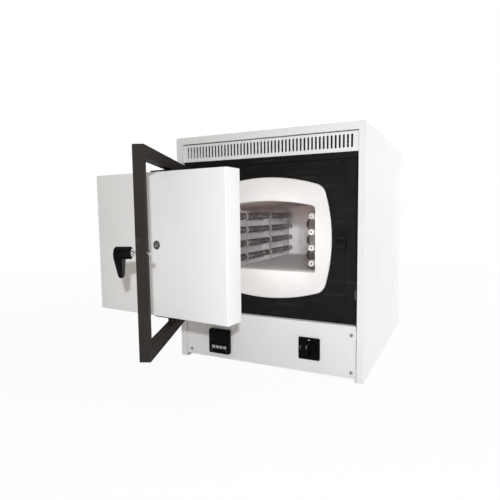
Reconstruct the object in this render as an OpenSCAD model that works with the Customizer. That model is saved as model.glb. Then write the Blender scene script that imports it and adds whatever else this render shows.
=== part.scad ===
// Bench muffle furnace with a yoke-hung door.
// The sheet-steel body carries a fibre muffle with heater tubes along both side walls.
// A C-shaped yoke is hinged at the left of the recess and carries the door on two pivot
// pins, so the door can stay parallel to the front while the yoke swings.
// A clamping lever on the yoke's free upright turns a T-head behind the catch.
// X runs to the right, Y to the back, Z up; millimetres. The origin is the centre of the
// base. Modules are drawn from the front plane (Y = 0), with the door closed, and seated.

/* [Casing] */
// Overall width of the body
case_w = 440; // [436:1:520]
// Overall height of the body
case_h = 515; // [508:1:600]
// Overall depth of the body
case_d = 500; // [495:1:620]
// Thickness of the body sheet
sheet = 1.5; // [1:0.1:2]
// Outer radius of the body's top edges
bend_r = 4; // [2.6:0.1:10]
// Width of the front flange at each side
flange_w = 14; // [12:0.5:16]
// Height of the front flange along the top
top_flange_h = 15; // [10:0.5:18]
// Width of the rear flange
rear_flange_w = 12; // [10:0.5:20]
// Width of the lower lips that the body stands on
foot_lip_w = 18; // [12:0.5:30]
// Distance of the front panels behind the front flange
panel_recess = 6; // [4:0.5:8]
// Clearance round each front panel
panel_gap = 0.5; // [0.3:0.1:0.8]
// Width of the strap that ties the lower lips under the chassis tray
strap_w = 60; // [30:1:100]
// Height of the chassis tray's side walls
tray_h = 108; // [60:1:110]

/* [Front zones] */
// Height of the control panel's lower edge
control_low = 5; // [4:0.5:7]
// Share of the height outside the door's zone that the control panel takes
control_share = 0.6736; // [0.66:0.001:0.69]
// Distance of the black plate behind the front flange
plate_recess = 18; // [17.5:0.1:19]
// Height of the lip that stands forward along the black plate's top
plate_lip_h = 10.5; // [7:0.5:11]
// Distance of that lip behind the front flange
plate_lip_y = 10; // [9:0.5:12]
// Height by which the plate's pressed field stands forward
field_raise = 1.2; // [0.8:0.1:1.4]
// Distance of the pressed field from the body's sides
field_side = 44; // [42:1:48]
// Height of the pressed field above the control panel
field_under = 29.5; // [24.5:0.5:30.5]
// Distance of the pressed field below the vent grille
field_over = 31; // [29:0.5:32]

/* [Vent grille] */
// Number of slots
slot_n = 48; // [20:1:48]
// Width of the strip's plain end beside the row of slots
slot_end = 10.02; // [10:0.01:30]
// Width of a slot
slot_w = 4; // [2:0.1:4.5]
// Height of the strip that is left above and below the slots together
slot_rest = 13.5; // [12.5:0.5:24]

/* [Chamber] */
// Distance of the fibre collar from the body's sides
collar_side = 71; // [69:0.5:75]
// Distance that the collar's upper and lower edges lie inside the door's
collar_inset = 0.25; // [-1:0.25:3]
// Height of the collar's centre above the door's
collar_lift = 1.5; // [0:0.5:2.5]
// Bulge radius of the collar's upper and lower edges
collar_bulge_r = 400; // [350:5:700]
// Bulge radius of the collar's side edges
collar_side_r = 345; // [300:5:600]
// Corner radius of the collar
collar_corner_r = 28; // [20:1:40]
// Distance of the collar's face behind the front flange
collar_face_y = 15.5; // [14.5:0.1:16]
// Thickness of the collar
collar_t = 30; // [27:1:34]
// Width of the collar's shoulder behind the plate
collar_shoulder = 8; // [4:0.5:10]
// Distance of the chamber's mouth from the body's sides
mouth_side = 107; // [104:0.5:109]
// Height of the collar under the mouth
mouth_under = 62; // [58:0.5:65]
// Height of the collar above the place where the mouth's arch starts
mouth_over = 63; // [60:0.5:66]
// Rise of the mouth's arch
mouth_rise = 12.5; // [9:0.5:16]
// Corner radius where the arch starts
arch_corner_r = 8; // [3:0.5:12]
// Drop from the mouth's floor to the chamber's floor
floor_step = 6; // [4:0.5:9]
// Distance of the chamber's back wall before the back of the body
chamber_rear = 90; // [86:1:100]
// Wall thickness of the fibre muffle
muffle_wall = 38; // [32:1:42]
// Thickness of the insulation beside and above the muffle
jacket_t = 45; // [36:1:46]
// Thickness of the insulation under the muffle
jacket_under = 65; // [60:1:68]
// Thickness of the insulation behind the muffle
jacket_back = 26; // [20:1:28]

/* [Heaters] */
// Number of heater tubes on each side
rod_n = 4; // [2:1:4]
// Height of the lowest heater tube above the mouth's floor
rod_under = 16.5; // [15:0.5:19]
// Distance of the highest heater tube below the place where the arch starts
rod_over = 21; // [20:0.5:26]
// Distance of the heater tubes from the mouth's sides
rod_side = 13; // [12:0.5:15]
// Outer diameter of a ceramic tube
tube_d = 12.8; // [11:0.1:13]
// Bore of a ceramic tube
tube_bore = 4.6; // [3:0.1:6]
// Distance of the tubes' front ends behind the front flange
tube_front = 30; // [26:1:40]
// Wire diameter of the heater coil
wire_d = 1.5; // [1:0.1:1.8]
// Number of wire turns on each tube
coil_turns = 40; // [20:1:60]
// Number of ceramic combs on each side
comb_n = 3; // [2:1:3]
// Thickness of a ceramic comb
comb_t = 6; // [4:0.5:10]
// Distance of the first comb behind the front flange
comb_first = 103; // [90:1:110]
// Distance of the last comb before the tubes' rear ends
comb_last = 29; // [25:1:60]
// Diameter of the lead wires
lead_d = 2.4; // [1.6:0.1:3]
// Diameter of the thermocouple's sheath
probe_d = 8; // [6:0.5:10]
// Distance of the thermocouple below the crown of the arch
probe_drop = 37.5; // [28:0.5:60]
// Length of the thermocouple inside the chamber
probe_in = 45; // [20:1:80]

/* [Yoke] */
// Distance of the yoke's hinge from the body's left side
hinge_side = 32; // [30:0.5:33]
// Distance of the yoke's upright from the body's right side
yoke_side = 46; // [44:0.5:47]
// Height of the yoke above the control panel
yoke_under = 3.5; // [3.5:0.5:5]
// Distance of the yoke below the vent grille
yoke_over = 17; // [16.5:0.5:19]
// Thickness of the yoke bar, front to back
yoke_t = 16; // [14:0.5:17]
// Height of the yoke's arms
arm_h = 19; // [17:0.5:20]
// Width of the yoke's upright
upright_w = 12; // [11:0.5:13]
// Length of the arms behind the hinge axis
arm_tail = 10; // [8:0.5:11]
// Outer corner radius of the yoke
yoke_corner_r = 4; // [2:0.5:6]
// Diameter of the hinge pins and of the door pivot pins
pin_d = 8; // [6:0.5:9]
// Running clearance round pins and shafts, on the radius
pin_play = 0.06; // [0.03:0.01:0.1]
// Thickness of the hinge lugs
lug_t = 2.5; // [2:0.1:2.6]
// Diameter of the pins' heads
pin_head_d = 12; // [11:0.5:13]

/* [Door] */
// Distance of the door from the body's sides
door_side = 64.5; // [63.5:0.5:67]
// Height of the door
door_h = 263.5; // [258:0.5:266]
// Depth of the door's steel box
door_t = 40; // [37:0.5:42]
// Distance of the door's pivot behind its outer face
door_pivot = 36; // [34:0.5:36.5]
// Height of the door above the yoke's lower side
door_under = 36.25; // [34:0.25:38]
// Distance of the door below the yoke's upper side
door_over = 26.25; // [24:0.25:28]
// Bend radius of the door's front edges
door_bend_r = 2.5; // [1.8:0.1:5]
// Gap between the closed door's pad and the collar
seat_gap = 0.4; // [0.3:0.1:1]
// Distance that the door pad's edge lies inside the collar's edge
pad_inset = 8; // [5:0.5:14]
// Thickness of the door's tabs
tab_t = 3; // [2:0.5:3.5]
// Width of the door's tabs
tab_w = 30; // [24:1:40]
// Diameter of the round recess in the door's face
recess_d = 17; // [12:0.5:22]

/* [Latch] */
// Distance of the lever's shaft below the door's middle
latch_drop = 1; // [-1:0.5:3]
// Diameter of the lever's shaft
shaft_d = 7; // [6:0.1:7.4]
// Length of the T-head
tee_l = 14; // [11:0.5:15]
// Height of the T-head
tee_h = 5.5; // [4:0.1:6]
// Thickness of the T-head
tee_t = 3; // [2:0.1:3.2]
// Clearance round the T-head in the catch's slot
tee_gap = 1.25; // [1:0.05:1.5]
// Diameter of the lever's hub
hub_d = 19; // [18:0.5:21]
// Length of the lever's hub
hub_l = 25; // [20:0.5:30]
// Length of the lever from its axis to its tip
lever_l = 38; // [30:0.5:50]

/* [Controls] */
// Width of the temperature controller's bezel
ctl_w = 54; // [50:0.5:58]
// Height of the temperature controller's bezel
ctl_h = 56; // [52:0.5:60]
// Distance of the controller's middle from the body's left side
ctl_side = 107.3; // [100:0.1:120]
// Distance of the controller's middle below the middle of the panel
ctl_drop = 12.95; // [0:0.05:15]
// Distance by which the bezel stands out of the panel
ctl_out = 9; // [8:0.5:12]
// Width of the controller's window
win_w = 44; // [40:0.5:46]
// Height of the controller's window
win_h = 26; // [22:0.5:28]
// Width of a key
key_w = 8; // [6:0.5:8.5]
// Height of a key
key_h = 7; // [5:0.5:8]
// Spacing of the keys
key_pitch = 10; // [9.5:0.1:11]
// Travel of a key
key_travel = 1.5; // [0.5:0.1:1.8]
// Side of the power switch's square plate
switch_side = 47; // [44:0.5:50]
// Distance of the power switch's middle from the body's right side
switch_side_x = 115.2; // [105:0.1:125]
// Distance of the power switch's middle below the middle of the panel
switch_drop = 2.95; // [0:0.05:10]
// Diameter of the power switch's knob
knob_d = 31; // [26:0.5:36]
// Height of the knob's grip
grip_h = 13; // [8:0.5:16]

/* [Inside] */
// Width of the power relay's heat sink
relay_w = 60; // [40:1:80]
// Length of the power relay's heat sink
relay_l = 90; // [60:1:120]
// Height of the relay's block under its cooling fins
relay_block_h = 18; // [12:1:24]
// Height of the power relay with its fins
relay_h = 48; // [30:1:60]
// Width of the terminal block
block_w = 60; // [40:1:80]
// Height of the terminal block
block_h = 22; // [16:1:30]
// Distance of the shell's rails from the inner shell's sides
rail_side = 38.1; // [20:0.1:60]
// Width of a rail
rail_w = 20; // [14:1:30]
// Height of a hinge bracket
bracket_h = 36; // [30:1:40]
// Distance of the cable gland's middle from the body's side
gland_side = 70; // [50:1:90]

/* [Rest pose] */
// Angle by which the yoke stands open
yoke_open = 65.7; // [0:0.1:110]
// Angle by which the door stands turned against the front
door_turn = 4.5; // [0:0.1:8]

/* [Hidden] */

$fn = 48;
gap = 0.3;
shell_t = 1;
screw_d = 3;
head_d = 7;
head_t = 1.8;
steel = [0.86, 0.85, 0.83];
black = [0.13, 0.13, 0.13];
fibre = [0.95, 0.94, 0.92];
zinc = [0.7, 0.71, 0.73];
porcelain = [0.93, 0.92, 0.88];
kanthal = [0.25, 0.2, 0.17];

// ---- shared construction ----

// Extrudes an outline drawn in X and Z from y0 backwards over the thickness t.
module slab(y0, t) {
    translate([0, y0 + t, 0]) rotate([90, 0, 0]) linear_extrude(t) children();
}

// Box between two corners.
module box(a, b) {
    translate(a) cube(b - a);
}

// Round bar along Y from y0 to y1 at (x, z).
module bar(x, z, y0, y1, d) {
    translate([x, y0, z]) rotate([-90, 0, 0]) cylinder(h = y1 - y0, d = d);
}

// Round bar along Z from z0 to z1 at (x, y).
module post(x, y, z0, z1, d) {
    translate([x, y, z0]) cylinder(h = z1 - z0, d = d);
}

// Seats what is drawn from the front plane on the body's own origin.
module seated() {
    translate([0, -case_d / 2, 0]) children();
}

// Swings what is drawn with the door closed to where the yoke stands at rest.
module on_yoke() {
    seated() translate([-hinge_x, 0, 0]) rotate([0, 0, -yoke_open])
        translate([hinge_x, 0, 0]) children();
}

// Turns the door about its own pivot, which the yoke carries.
module on_door() {
    on_yoke() rotate([0, 0, yoke_open - door_turn]) children();
}

// Cross-head screw in a front panel: the head stands on y and the shank runs back.
module screw(x, y, z, shank) {
    translate([x, y, z]) rotate([-90, 0, 0]) difference() {
        union() {
            translate([0, 0, -head_t]) cylinder(h = head_t, d1 = head_d - 1.6, d2 = head_d);
            cylinder(h = shank, d = screw_d);
        }
        for (a = [0, 90]) rotate([0, 0, a]) translate([0, 0, -head_t])
            cube([head_d * 0.55, 0.8, 1.4], center = true);
    }
}

// Hole for such a screw, as an outline.
module screw_hole(p) {
    translate(p) circle(d = screw_d + 2 * 0.2);
}

// Outline of the body: flat sides and base, rounded upper corners.
module body_outline(w, h, r) {
    translate([-w / 2, 0]) square([w, h - r]);
    translate([r - w / 2, 0]) square([w - 2 * r, h]);
    for (s = [-1, 1]) translate([s * (w / 2 - r), h - r]) circle(r);
}

// Upright slot with round ends.
module slot_outline(w, h) {
    square([w, h - w], center = true);
    for (s = [-1, 1]) translate([0, s * (h - w) / 2]) circle(d = w);
}

// Rectangle with round corners.
module round_rect(w, h, r) {
    square([w - 2 * r, h], center = true);
    square([w, h - 2 * r], center = true);
    for (sx = [-1, 1], sz = [-1, 1]) translate([sx * (w / 2 - r), sz * (h / 2 - r)]) circle(r);
}

// Points of an arc with its ends, and of an arc without them.
function arc(c, r, a, b, n) = [for (i = [0 : n]) c + r * [cos(a + (b - a) * i / n), sin(a + (b - a) * i / n)]];
function mid(c, r, a, b, n) = [for (i = [1 : n - 1]) c + r * [cos(a + (b - a) * i / n), sin(a + (b - a) * i / n)]];

// ---- the chain of sizes across, up and back from the overall ones ----

inner_w = case_w - 2 * flange_w;
panel_w = inner_w - 2 * panel_gap;
slot_pitch = (panel_w - 2 * slot_end) / slot_n;
field_half_w = case_w / 2 - field_side;
collar_half_w = case_w / 2 - collar_side;
mouth_w = case_w - 2 * mouth_side;
rod_x = mouth_w / 2 - rod_side;
hinge_x = case_w / 2 - hinge_side;
yoke_reach = case_w - hinge_side - yoke_side;
door_w = case_w - 2 * door_side;
ctl_x = case_w / 2 - ctl_side;
switch_x = case_w / 2 - switch_side_x;

zone_h = yoke_under + door_under + door_h + door_over + yoke_over;
control_top = round(2 * control_share * (case_h - zone_h)) / 2;
grille_low = control_top + zone_h;
field_low = control_top + field_under;
field_high = grille_low - field_over;
yoke_low = control_top + yoke_under;
yoke_high = grille_low - yoke_over;
door_z = yoke_low + door_under + door_h / 2;
latch_z = door_z - latch_drop;
collar_z = door_z + collar_lift;
collar_half_h = door_h / 2 - collar_inset;
mouth_floor = collar_z - collar_half_h + mouth_under;
mouth_spring = collar_z + collar_half_h - mouth_over;
mouth_crown = mouth_spring + mouth_rise;
chamber_floor = mouth_floor - floor_step;
rod_low = mouth_floor + rod_under;
rod_pitch = (mouth_spring - rod_over - rod_low) / (rod_n - 1);
probe_z = mouth_crown - probe_drop;
ctl_z = (control_low + control_top) / 2 - ctl_drop;
switch_z = (control_low + control_top) / 2 - switch_drop;

chamber_back = case_d - chamber_rear;
rod_end = chamber_back - 2;
comb_pitch = (rod_end - comb_last - comb_first) / (comb_n - 1);

// ---- casing ----

wall_w = case_w - 2 * sheet;
return_y = panel_recess + 2 * sheet + gap;
tray_z = sheet + gap;
rear_y = case_d - sheet - gap - sheet;
grille_high = case_h - top_flange_h - panel_gap;
grille_z = (grille_low + grille_high) / 2;
slot_h = grille_high - grille_low - slot_rest;
control_spots = [for (s = [-1, 1], z = [control_low + 12, control_top - 18.5]) [s * (panel_w / 2 - 11.5), z]];
side_spots = [[30, 84], [case_d - 89, 102], [27, 9]];
rear_spots = [for (s = [-1, 1], i = [0 : 3])
    [s * (case_w / 2 - rear_flange_w / 2), 30 + i * (case_h - 65) / 3]];

// Tab behind a panel's edge, from the return inwards.
module rebate_tab(s, z0, z1, w) {
    slab(panel_recess + sheet + gap, sheet)
        translate([s > 0 ? inner_w / 2 - w : -inner_w / 2 - sheet, z0]) square([w + sheet, z1 - z0]);
}

module side_holes() {
    for (p = side_spots) translate([0, p[0], p[1]]) rotate([0, 90, 0])
        cylinder(h = case_w + 10, d = screw_d + 0.4, center = true);
}

module casing() color(steel) seated() difference() {
    union() {
        slab(0, case_d) difference() {
            body_outline(case_w, case_h, bend_r);
            translate([0, -1]) body_outline(wall_w, case_h - sheet + 1, bend_r - sheet);
        }
        slab(0, sheet) difference() {
            body_outline(case_w, case_h, bend_r);
            translate([-inner_w / 2, -1]) square([inner_w, case_h - top_flange_h + 1]);
        }
        slab(case_d - sheet, sheet) difference() {
            body_outline(case_w, case_h, bend_r);
            translate([rear_flange_w - case_w / 2, -1])
                square([case_w - 2 * rear_flange_w, case_h - rear_flange_w + 1]);
        }
        for (s = [0, 1]) mirror([s, 0, 0]) {
            box([case_w / 2 - foot_lip_w, 0, 0], [case_w / 2, case_d, sheet]);
            box([inner_w / 2, 0, 0], [inner_w / 2 + sheet, return_y, case_h - top_flange_h + sheet]);
        }
        box([1 - case_w / 2, (case_d - strap_w) / 2, 0], [case_w / 2 - 1, (case_d + strap_w) / 2, sheet]);
        box([-inner_w / 2, 0, case_h - top_flange_h],
            [inner_w / 2, return_y, case_h - top_flange_h + sheet]);
        for (s = [-1, 1], p = control_spots) if (p[0] * s > 0)
            rebate_tab(s, p[1] - 8, p[1] + 8, 20);
        for (s = [-1, 1]) rebate_tab(s, grille_low + 4, grille_high - 4, 9);
    }
    side_holes();
    slab(panel_recess, 10) for (p = control_spots) screw_hole(p);
    slab(case_d - 5, 10) for (p = rear_spots) screw_hole(p);
}

// Chassis tray inside the foot of the casing, screwed to its side walls.
module base_tray() color(zinc) seated() difference() {
    union() {
        box([gap - wall_w / 2, 22, tray_z], [wall_w / 2 - gap, rear_y - gap, tray_z + sheet]);
        for (s = [0, 1]) mirror([s, 0, 0])
            box([wall_w / 2 - gap - sheet, 22, tray_z], [wall_w / 2 - gap, rear_y - gap, tray_z + tray_h]);
    }
    for (i = [0 : 7], s = [-1, 1]) translate([s * 75, 150 + i * 28, 0])
        linear_extrude(20) rotate(90) slot_outline(5, 70);
    side_holes();
}

module side_screws() color(zinc) seated() {
    for (s = [0, 1], p = side_spots) mirror([s, 0, 0]) translate([case_w / 2, p[0], p[1]])
        rotate([0, 0, 90]) screw(0, 0, 0, 2 * sheet + gap + 1);
}

gland_x = gland_side - case_w / 2;
gland_z = 46;
gland_d = 20;

// Back wall with air slots, held behind the rear flange.
module rear_panel() color(steel) seated() slab(rear_y, sheet) difference() {
    translate([0, tray_z]) body_outline(wall_w - 2 * gap, case_h - sheet - gap - tray_z, bend_r - sheet);
    for (i = [0 : 8], s = [-1, 1]) translate([s * 88, case_h - 135 + i * 10]) rotate(90) slot_outline(4, 120);
    for (i = [0 : 4]) translate([60, 30 + i * 10]) rotate(90) slot_outline(4, 160);
    for (p = rear_spots) screw_hole(p);
    translate([gland_x, gland_z]) circle(d = gland_d + 0.3);
}

module rear_screws() color(zinc) seated() {
    for (p = rear_spots) translate([p[0], case_d, p[1]]) rotate([0, 0, 180]) screw(0, 0, 0, 2 * sheet + gap + 1);
}

// ---- front panels ----

// Vent grille over the recess: a punched strip with a lower return.
module vent_grille() color(steel) seated() {
    slab(panel_recess, sheet) difference() {
        translate([-panel_w / 2, grille_low]) square([panel_w, grille_high - grille_low]);
        for (i = [0 : slot_n - 1])
            translate([(i - (slot_n - 1) / 2) * slot_pitch, grille_z + 0.5]) slot_outline(slot_w, slot_h);
    }
    box([-panel_w / 2, panel_recess, grille_low], [panel_w / 2, plate_recess + sheet, grille_low + sheet]);
}

// Control panel with the openings for the controller and the switch.
module control_panel() color(steel) seated() {
    slab(panel_recess, sheet) difference() {
        translate([-panel_w / 2, control_low]) square([panel_w, control_top - control_low]);
        translate([-ctl_x, ctl_z]) square(ctl_body + 1, center = true);
        translate([switch_x, switch_z]) circle(d = switch_neck + 1);
        for (p = control_spots) screw_hole(p);
    }
    box([-panel_w / 2, panel_recess, control_top - sheet],
        [panel_w / 2, plate_recess - gap, control_top]);
}

module control_screws() color(zinc) seated() {
    for (p = control_spots) screw(p[0], panel_recess, p[1], 2 * sheet + gap + 1.5);
}

plate_low = control_top + gap;
plate_high = grille_low - gap;
field_y = plate_recess - field_raise;
hinge_flange_y = plate_recess - gap - lug_t;
upper_lug_z = yoke_high + gap;
lower_lug_z = yoke_low - gap - lug_t;
plate_spots = [for (s = [-1, 1]) each [[s * (case_w / 2 - 50), grille_low - 19], [s * (case_w / 2 - 55), control_top + 5.5]]];
hinge_spots = [for (s = [-1, 1], z = [lower_lug_z + bracket_h - 6, upper_lug_z + lug_t - bracket_h + 6])
    [s * 6 - hinge_x, z]];
catch_x = yoke_reach - upright_w / 2 - hinge_x;
slot_half_w = tee_l / 2 + tee_gap;
catch_half_w = slot_half_w + 2.25;
catch_top = latch_z + tee_l / 2 + 0.6;
catch_low = latch_z - tee_l / 2 - 10.4;
catch_spots = [for (s = [-1, 1]) [catch_x + s * 5, catch_top + sheet + 6]];

module field_rect(grow) {
    translate([-field_half_w - grow, field_low - grow])
        square([2 * (field_half_w + grow), field_high - field_low + 2 * grow]);
}

// Black front plate: a tray with a pressed field, side walls and a stepped upper lip.
module front_plate() color(black) seated() {
    lip_z = plate_high - plate_lip_h;
    difference() {
        union() {
            slab(plate_recess, sheet) difference() {
                translate([-panel_w / 2, plate_low]) square([panel_w, lip_z - plate_low]);
                field_rect(-2);
            }
            slab(field_y, sheet) field_rect(0);
            for (s = [0, 1]) mirror([s, 0, 0])
                box([panel_w / 2 - sheet, 1, plate_low], [panel_w / 2, plate_recess + sheet, lip_z]);
            box([-panel_w / 2, plate_lip_y, lip_z - sheet], [panel_w / 2, plate_recess + sheet, lip_z]);
            box([-panel_w / 2, plate_lip_y, lip_z - sheet], [panel_w / 2, plate_lip_y + sheet, plate_high]);
        }
        slab(field_y - 1, 10) polygon(collar_points(gap));
        slab(field_y - 1, 10) for (p = concat(plate_spots, hinge_spots, catch_spots)) screw_hole(p);
    }
}

module plate_screws() color(black) seated() {
    for (p = plate_spots) screw(p[0], plate_recess, p[1], sheet + gap + shell_t);
    for (p = hinge_spots) screw(p[0], hinge_flange_y, p[1], lug_t + gap + sheet + gap + shell_t);
    for (p = catch_spots) screw(p[0], field_y - gap - sheet, p[1], 2 * sheet + gap + 0.5);
}

clip_z = control_top + 53.5;

// Small bright clip at the right edge of the black plate.
module plate_clip() color(zinc) seated() {
    right = panel_w / 2 - sheet - gap;
    difference() {
        box([right - 5.5, plate_recess - gap - 4, clip_z], [right, plate_recess - gap, clip_z + 19]);
        box([right - 4, plate_recess - 6, clip_z + 2], [right - 2.8, plate_recess - gap - 2.5, clip_z + 17]);
    }
}

// ---- collar, muffle and insulation ----

// The collar's outline: four bulged edges joined by tangent corner rounds.
bulge_z = collar_half_h - collar_bulge_r;
bulge_x = collar_half_w - collar_side_r;
reach_z = collar_bulge_r - collar_corner_r;
reach_x = collar_side_r - collar_corner_r;
slope = bulge_z / bulge_x;
shift = (reach_z * reach_z - reach_x * reach_x - bulge_z * bulge_z + bulge_x * bulge_x) / (2 * bulge_x);
half_b = shift * slope - bulge_z;
root = sqrt(half_b * half_b - (1 + slope * slope) * (shift * shift + bulge_z * bulge_z - reach_z * reach_z));
round_z = (root - half_b) / (1 + slope * slope);
round_x = shift + slope * round_z;
side_a = atan2(round_z, round_x - bulge_x);
top_a = atan2(round_z - bulge_z, round_x);

function collar_quarter(g) = concat(
    mid([bulge_x, 0], collar_side_r + g, 0, side_a, 5),
    arc([round_x, round_z], collar_corner_r + g, side_a, top_a, 8),
    mid([0, bulge_z], collar_bulge_r + g, top_a, 90, 7));

function flip(list) = [for (i = [len(list) - 1 : -1 : 0]) list[i]];

function collar_points(g) = let (
    q = collar_quarter(g),
    right = concat(flip([for (p = q) [p[0], -p[1]]]), [[collar_half_w + g, 0]], q),
    left = flip([for (p = right) [-p[0], p[1]]]))
    [for (p = concat(right, [[0, collar_half_h + g]], left, [[0, -collar_half_h - g]])) [p[0], p[1] + collar_z]];

// The arch shared by the mouth and the chamber, grown by g, standing on the floor given.
arch_s = mouth_crown - mouth_spring;
arch_r = (mouth_w * mouth_w / 4 + arch_s * arch_s) / (2 * arch_s);
arch_z = mouth_crown - arch_r;
arch_cx = mouth_w / 2 - arch_corner_r;
arch_cz = arch_z + sqrt(pow(arch_r - arch_corner_r, 2) - arch_cx * arch_cx);
arch_a = atan2(arch_cz - arch_z, arch_cx);

function arch_points(g, floor_z) = concat(
    [[-mouth_w / 2 - g, floor_z], [mouth_w / 2 + g, floor_z]],
    arc([arch_cx, arch_cz], arch_corner_r + g, 0, arch_a, 5),
    mid([0, arch_z], arch_r + g, arch_a, 180 - arch_a, 16),
    arc([-arch_cx, arch_cz], arch_corner_r + g, 180 - arch_a, 180, 5));

collar_back = collar_face_y + collar_t;
collar_body_y = field_y + sheet + gap;
muffle_front = collar_back + gap;
muffle_back = chamber_back + muffle_wall;
hall_w = mouth_w / 2 + 0.5;
shell_front = plate_recess + sheet + gap;
jacket_front = shell_front + shell_t + gap;
jacket_back_y = muffle_back + gap + jacket_back;
shell_back = jacket_back_y + gap + shell_t;

module chamber_collar() color(fibre) seated() difference() {
    union() {
        slab(collar_face_y, collar_body_y - collar_face_y + 1) polygon(collar_points(0));
        slab(collar_body_y, collar_back - collar_body_y) polygon(collar_points(collar_shoulder));
    }
    slab(collar_face_y - 1, collar_t + 2) polygon(arch_points(0, mouth_floor));
}

module muffle_rect(grow) {
    translate([-hall_w - muffle_wall - grow, chamber_floor - muffle_wall - grow])
        square([2 * (hall_w + muffle_wall + grow), mouth_crown + 0.5 + 2 * muffle_wall + 2 * grow - chamber_floor]);
}

rod_zs = [for (i = [0 : rod_n - 1]) rod_low + i * rod_pitch];
coil_in = tube_d / 2 + 0.2;
coil_out = coil_in + wire_d;
coil_front = tube_front + 22;
coil_back = rod_end - 8;
lead_r = tube_d / 2 + lead_d / 2 + 0.15;
lead_spots = [for (s = [-1, 1], p = [[rod_zs[0], -1], [rod_zs[rod_n - 1], 1]]) [s * rod_x, p[0] + p[1] * lead_r]];
probe_x = 40;

// Holes through the muffle's back for the leads and the thermocouple.
module back_holes(y0, y1, extra) {
    for (p = lead_spots) bar(p[0], p[1], y0, y1, lead_d + extra);
    bar(probe_x, probe_z, y0, y1, probe_d + 0.6);
}

module muffle() color(fibre) seated() difference() {
    slab(muffle_front, muffle_back - muffle_front) muffle_rect(0);
    slab(muffle_front - 1, chamber_back - muffle_front + 1) polygon(arch_points(0.5, chamber_floor));
    back_holes(chamber_back - 1, muffle_back + 1, 0.6);
}

// Outline of the insulation that fills the inner shell, grown by g.
module jacket_rect(g) {
    low = chamber_floor - muffle_wall - gap - jacket_under - g;
    half = hall_w + muffle_wall + gap + jacket_t + g;
    translate([-half, low]) square([2 * half, mouth_crown + 0.5 + muffle_wall + gap + jacket_t + g - low]);
}

ferrule_d = 9;

module insulation_jacket() color(fibre) seated() difference() {
    slab(jacket_front, jacket_back_y - jacket_front) jacket_rect(0);
    slab(jacket_front - 1, muffle_front - jacket_front + 1) polygon(collar_points(collar_shoulder + gap));
    slab(muffle_front - gap, muffle_back + gap - muffle_front + gap) muffle_rect(gap);
    back_holes(muffle_back - 1, jacket_back_y + 1, ferrule_d - lead_d + 0.6);
}

// Inner steel shell round the insulation, with a flange behind the black plate.
module inner_shell() color(zinc) seated() difference() {
    union() {
        slab(shell_front, shell_back - shell_front) difference() {
            jacket_rect(gap + shell_t);
            jacket_rect(gap);
        }
        slab(shell_front, shell_t) difference() {
            jacket_rect(gap + shell_t);
            jacket_rect(-17.5);
        }
        slab(shell_back - shell_t, shell_t) jacket_rect(gap + shell_t);
    }
    slab(shell_front - 1, 5) for (p = concat(plate_spots, hinge_spots)) screw_hole(p);
    back_holes(shell_back - 5, shell_back + 1, ferrule_d - lead_d + 0.6);
}

// Two folded rails that carry the inner shell on the chassis tray.
module shell_rails() color(zinc) seated() {
    top = chamber_floor - muffle_wall - gap - jacket_under - gap - shell_t - gap;
    low = tray_z + sheet + gap;
    half = hall_w + muffle_wall + jacket_t + 2 * gap + shell_t - rail_side;
    for (y = [105, case_d - 95]) {
        box([-half, y, low], [half, y + sheet, top]);
        box([-half, y, low], [half, y + rail_w, low + sheet]);
        box([-half, y, top - sheet], [half, y + rail_w, top]);
    }
}

// ---- heaters ----

module tube_bank(s) {
    for (z = rod_zs) difference() {
        bar(s * rod_x, z, tube_front, rod_end, tube_d);
        bar(s * rod_x, z, tube_front - 1, rod_end + 1, tube_bore);
    }
}

module heater_tubes_left() color(porcelain) seated() tube_bank(-1);
module heater_tubes_right() color(porcelain) seated() tube_bank(1);

// One close-wound coil: a sleeve whose outside follows the wire's turns.
module coil(x, z) {
    step = (coil_back - coil_front) / coil_turns;
    turns = [for (i = [0 : coil_turns - 1], k = [0, 1])
        [k == 0 ? coil_in + wire_d * 0.55 : coil_out, (i + k / 2) * step]];
    end = [[coil_in + wire_d * 0.55, coil_turns * step], [coil_in, coil_turns * step]];
    translate([x, coil_front, z]) rotate([-90, 0, 0]) rotate_extrude()
        polygon(concat([[coil_in, 0]], turns, end));
}

module coil_bank(s) {
    for (z = rod_zs) coil(s * rod_x, z);
}

module heater_coils_left() color(kanthal) seated() coil_bank(-1);
module heater_coils_right() color(kanthal) seated() coil_bank(1);

// Ceramic combs: a slim strip on the wall that widens to an eye round each tube.
module comb_bank(s) {
    wall = hall_w - gap;
    eye = coil_out + 0.3;
    for (i = [0 : comb_n - 1]) slab(comb_first + i * comb_pitch, comb_t) difference() {
        union() {
            translate([s > 0 ? rod_x - 4 : -wall, chamber_floor + gap])
                square([wall - rod_x + 4, rod_zs[rod_n - 1] + eye + 3 - chamber_floor - gap]);
            for (z = rod_zs) translate([s * rod_x, z]) circle(eye + 2);
        }
        for (z = rod_zs) translate([s * rod_x, z]) circle(eye);
    }
}

module combs_left() color(porcelain) seated() comb_bank(-1);
module combs_right() color(porcelain) seated() comb_bank(1);

module heater_leads() color(kanthal) seated() {
    for (p = lead_spots) bar(p[0], p[1], coil_back + gap, shell_back + 12, lead_d);
}

// Porcelain bushes that lead the wires through the insulation and the shell.
module lead_ferrules() color(porcelain) seated() difference() {
    for (p = lead_spots) {
        bar(p[0], p[1], muffle_back + 1, shell_back + 4, ferrule_d);
        bar(p[0], p[1], shell_back + gap, shell_back + 4, ferrule_d + 5);
    }
    for (p = lead_spots) bar(p[0], p[1], muffle_back, shell_back + 5, lead_d + 0.4);
}

module terminal_block() color(porcelain) seated() difference() {
    low = mouth_crown + 12.5;
    box([-block_w / 2, shell_back + gap, low], [block_w / 2, shell_back + gap + 11, low + block_h]);
    for (i = [-1 : 1]) bar(i * block_w * 0.3, low + block_h / 2, shell_back + 5, shell_back + 20, 7);
}

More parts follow.
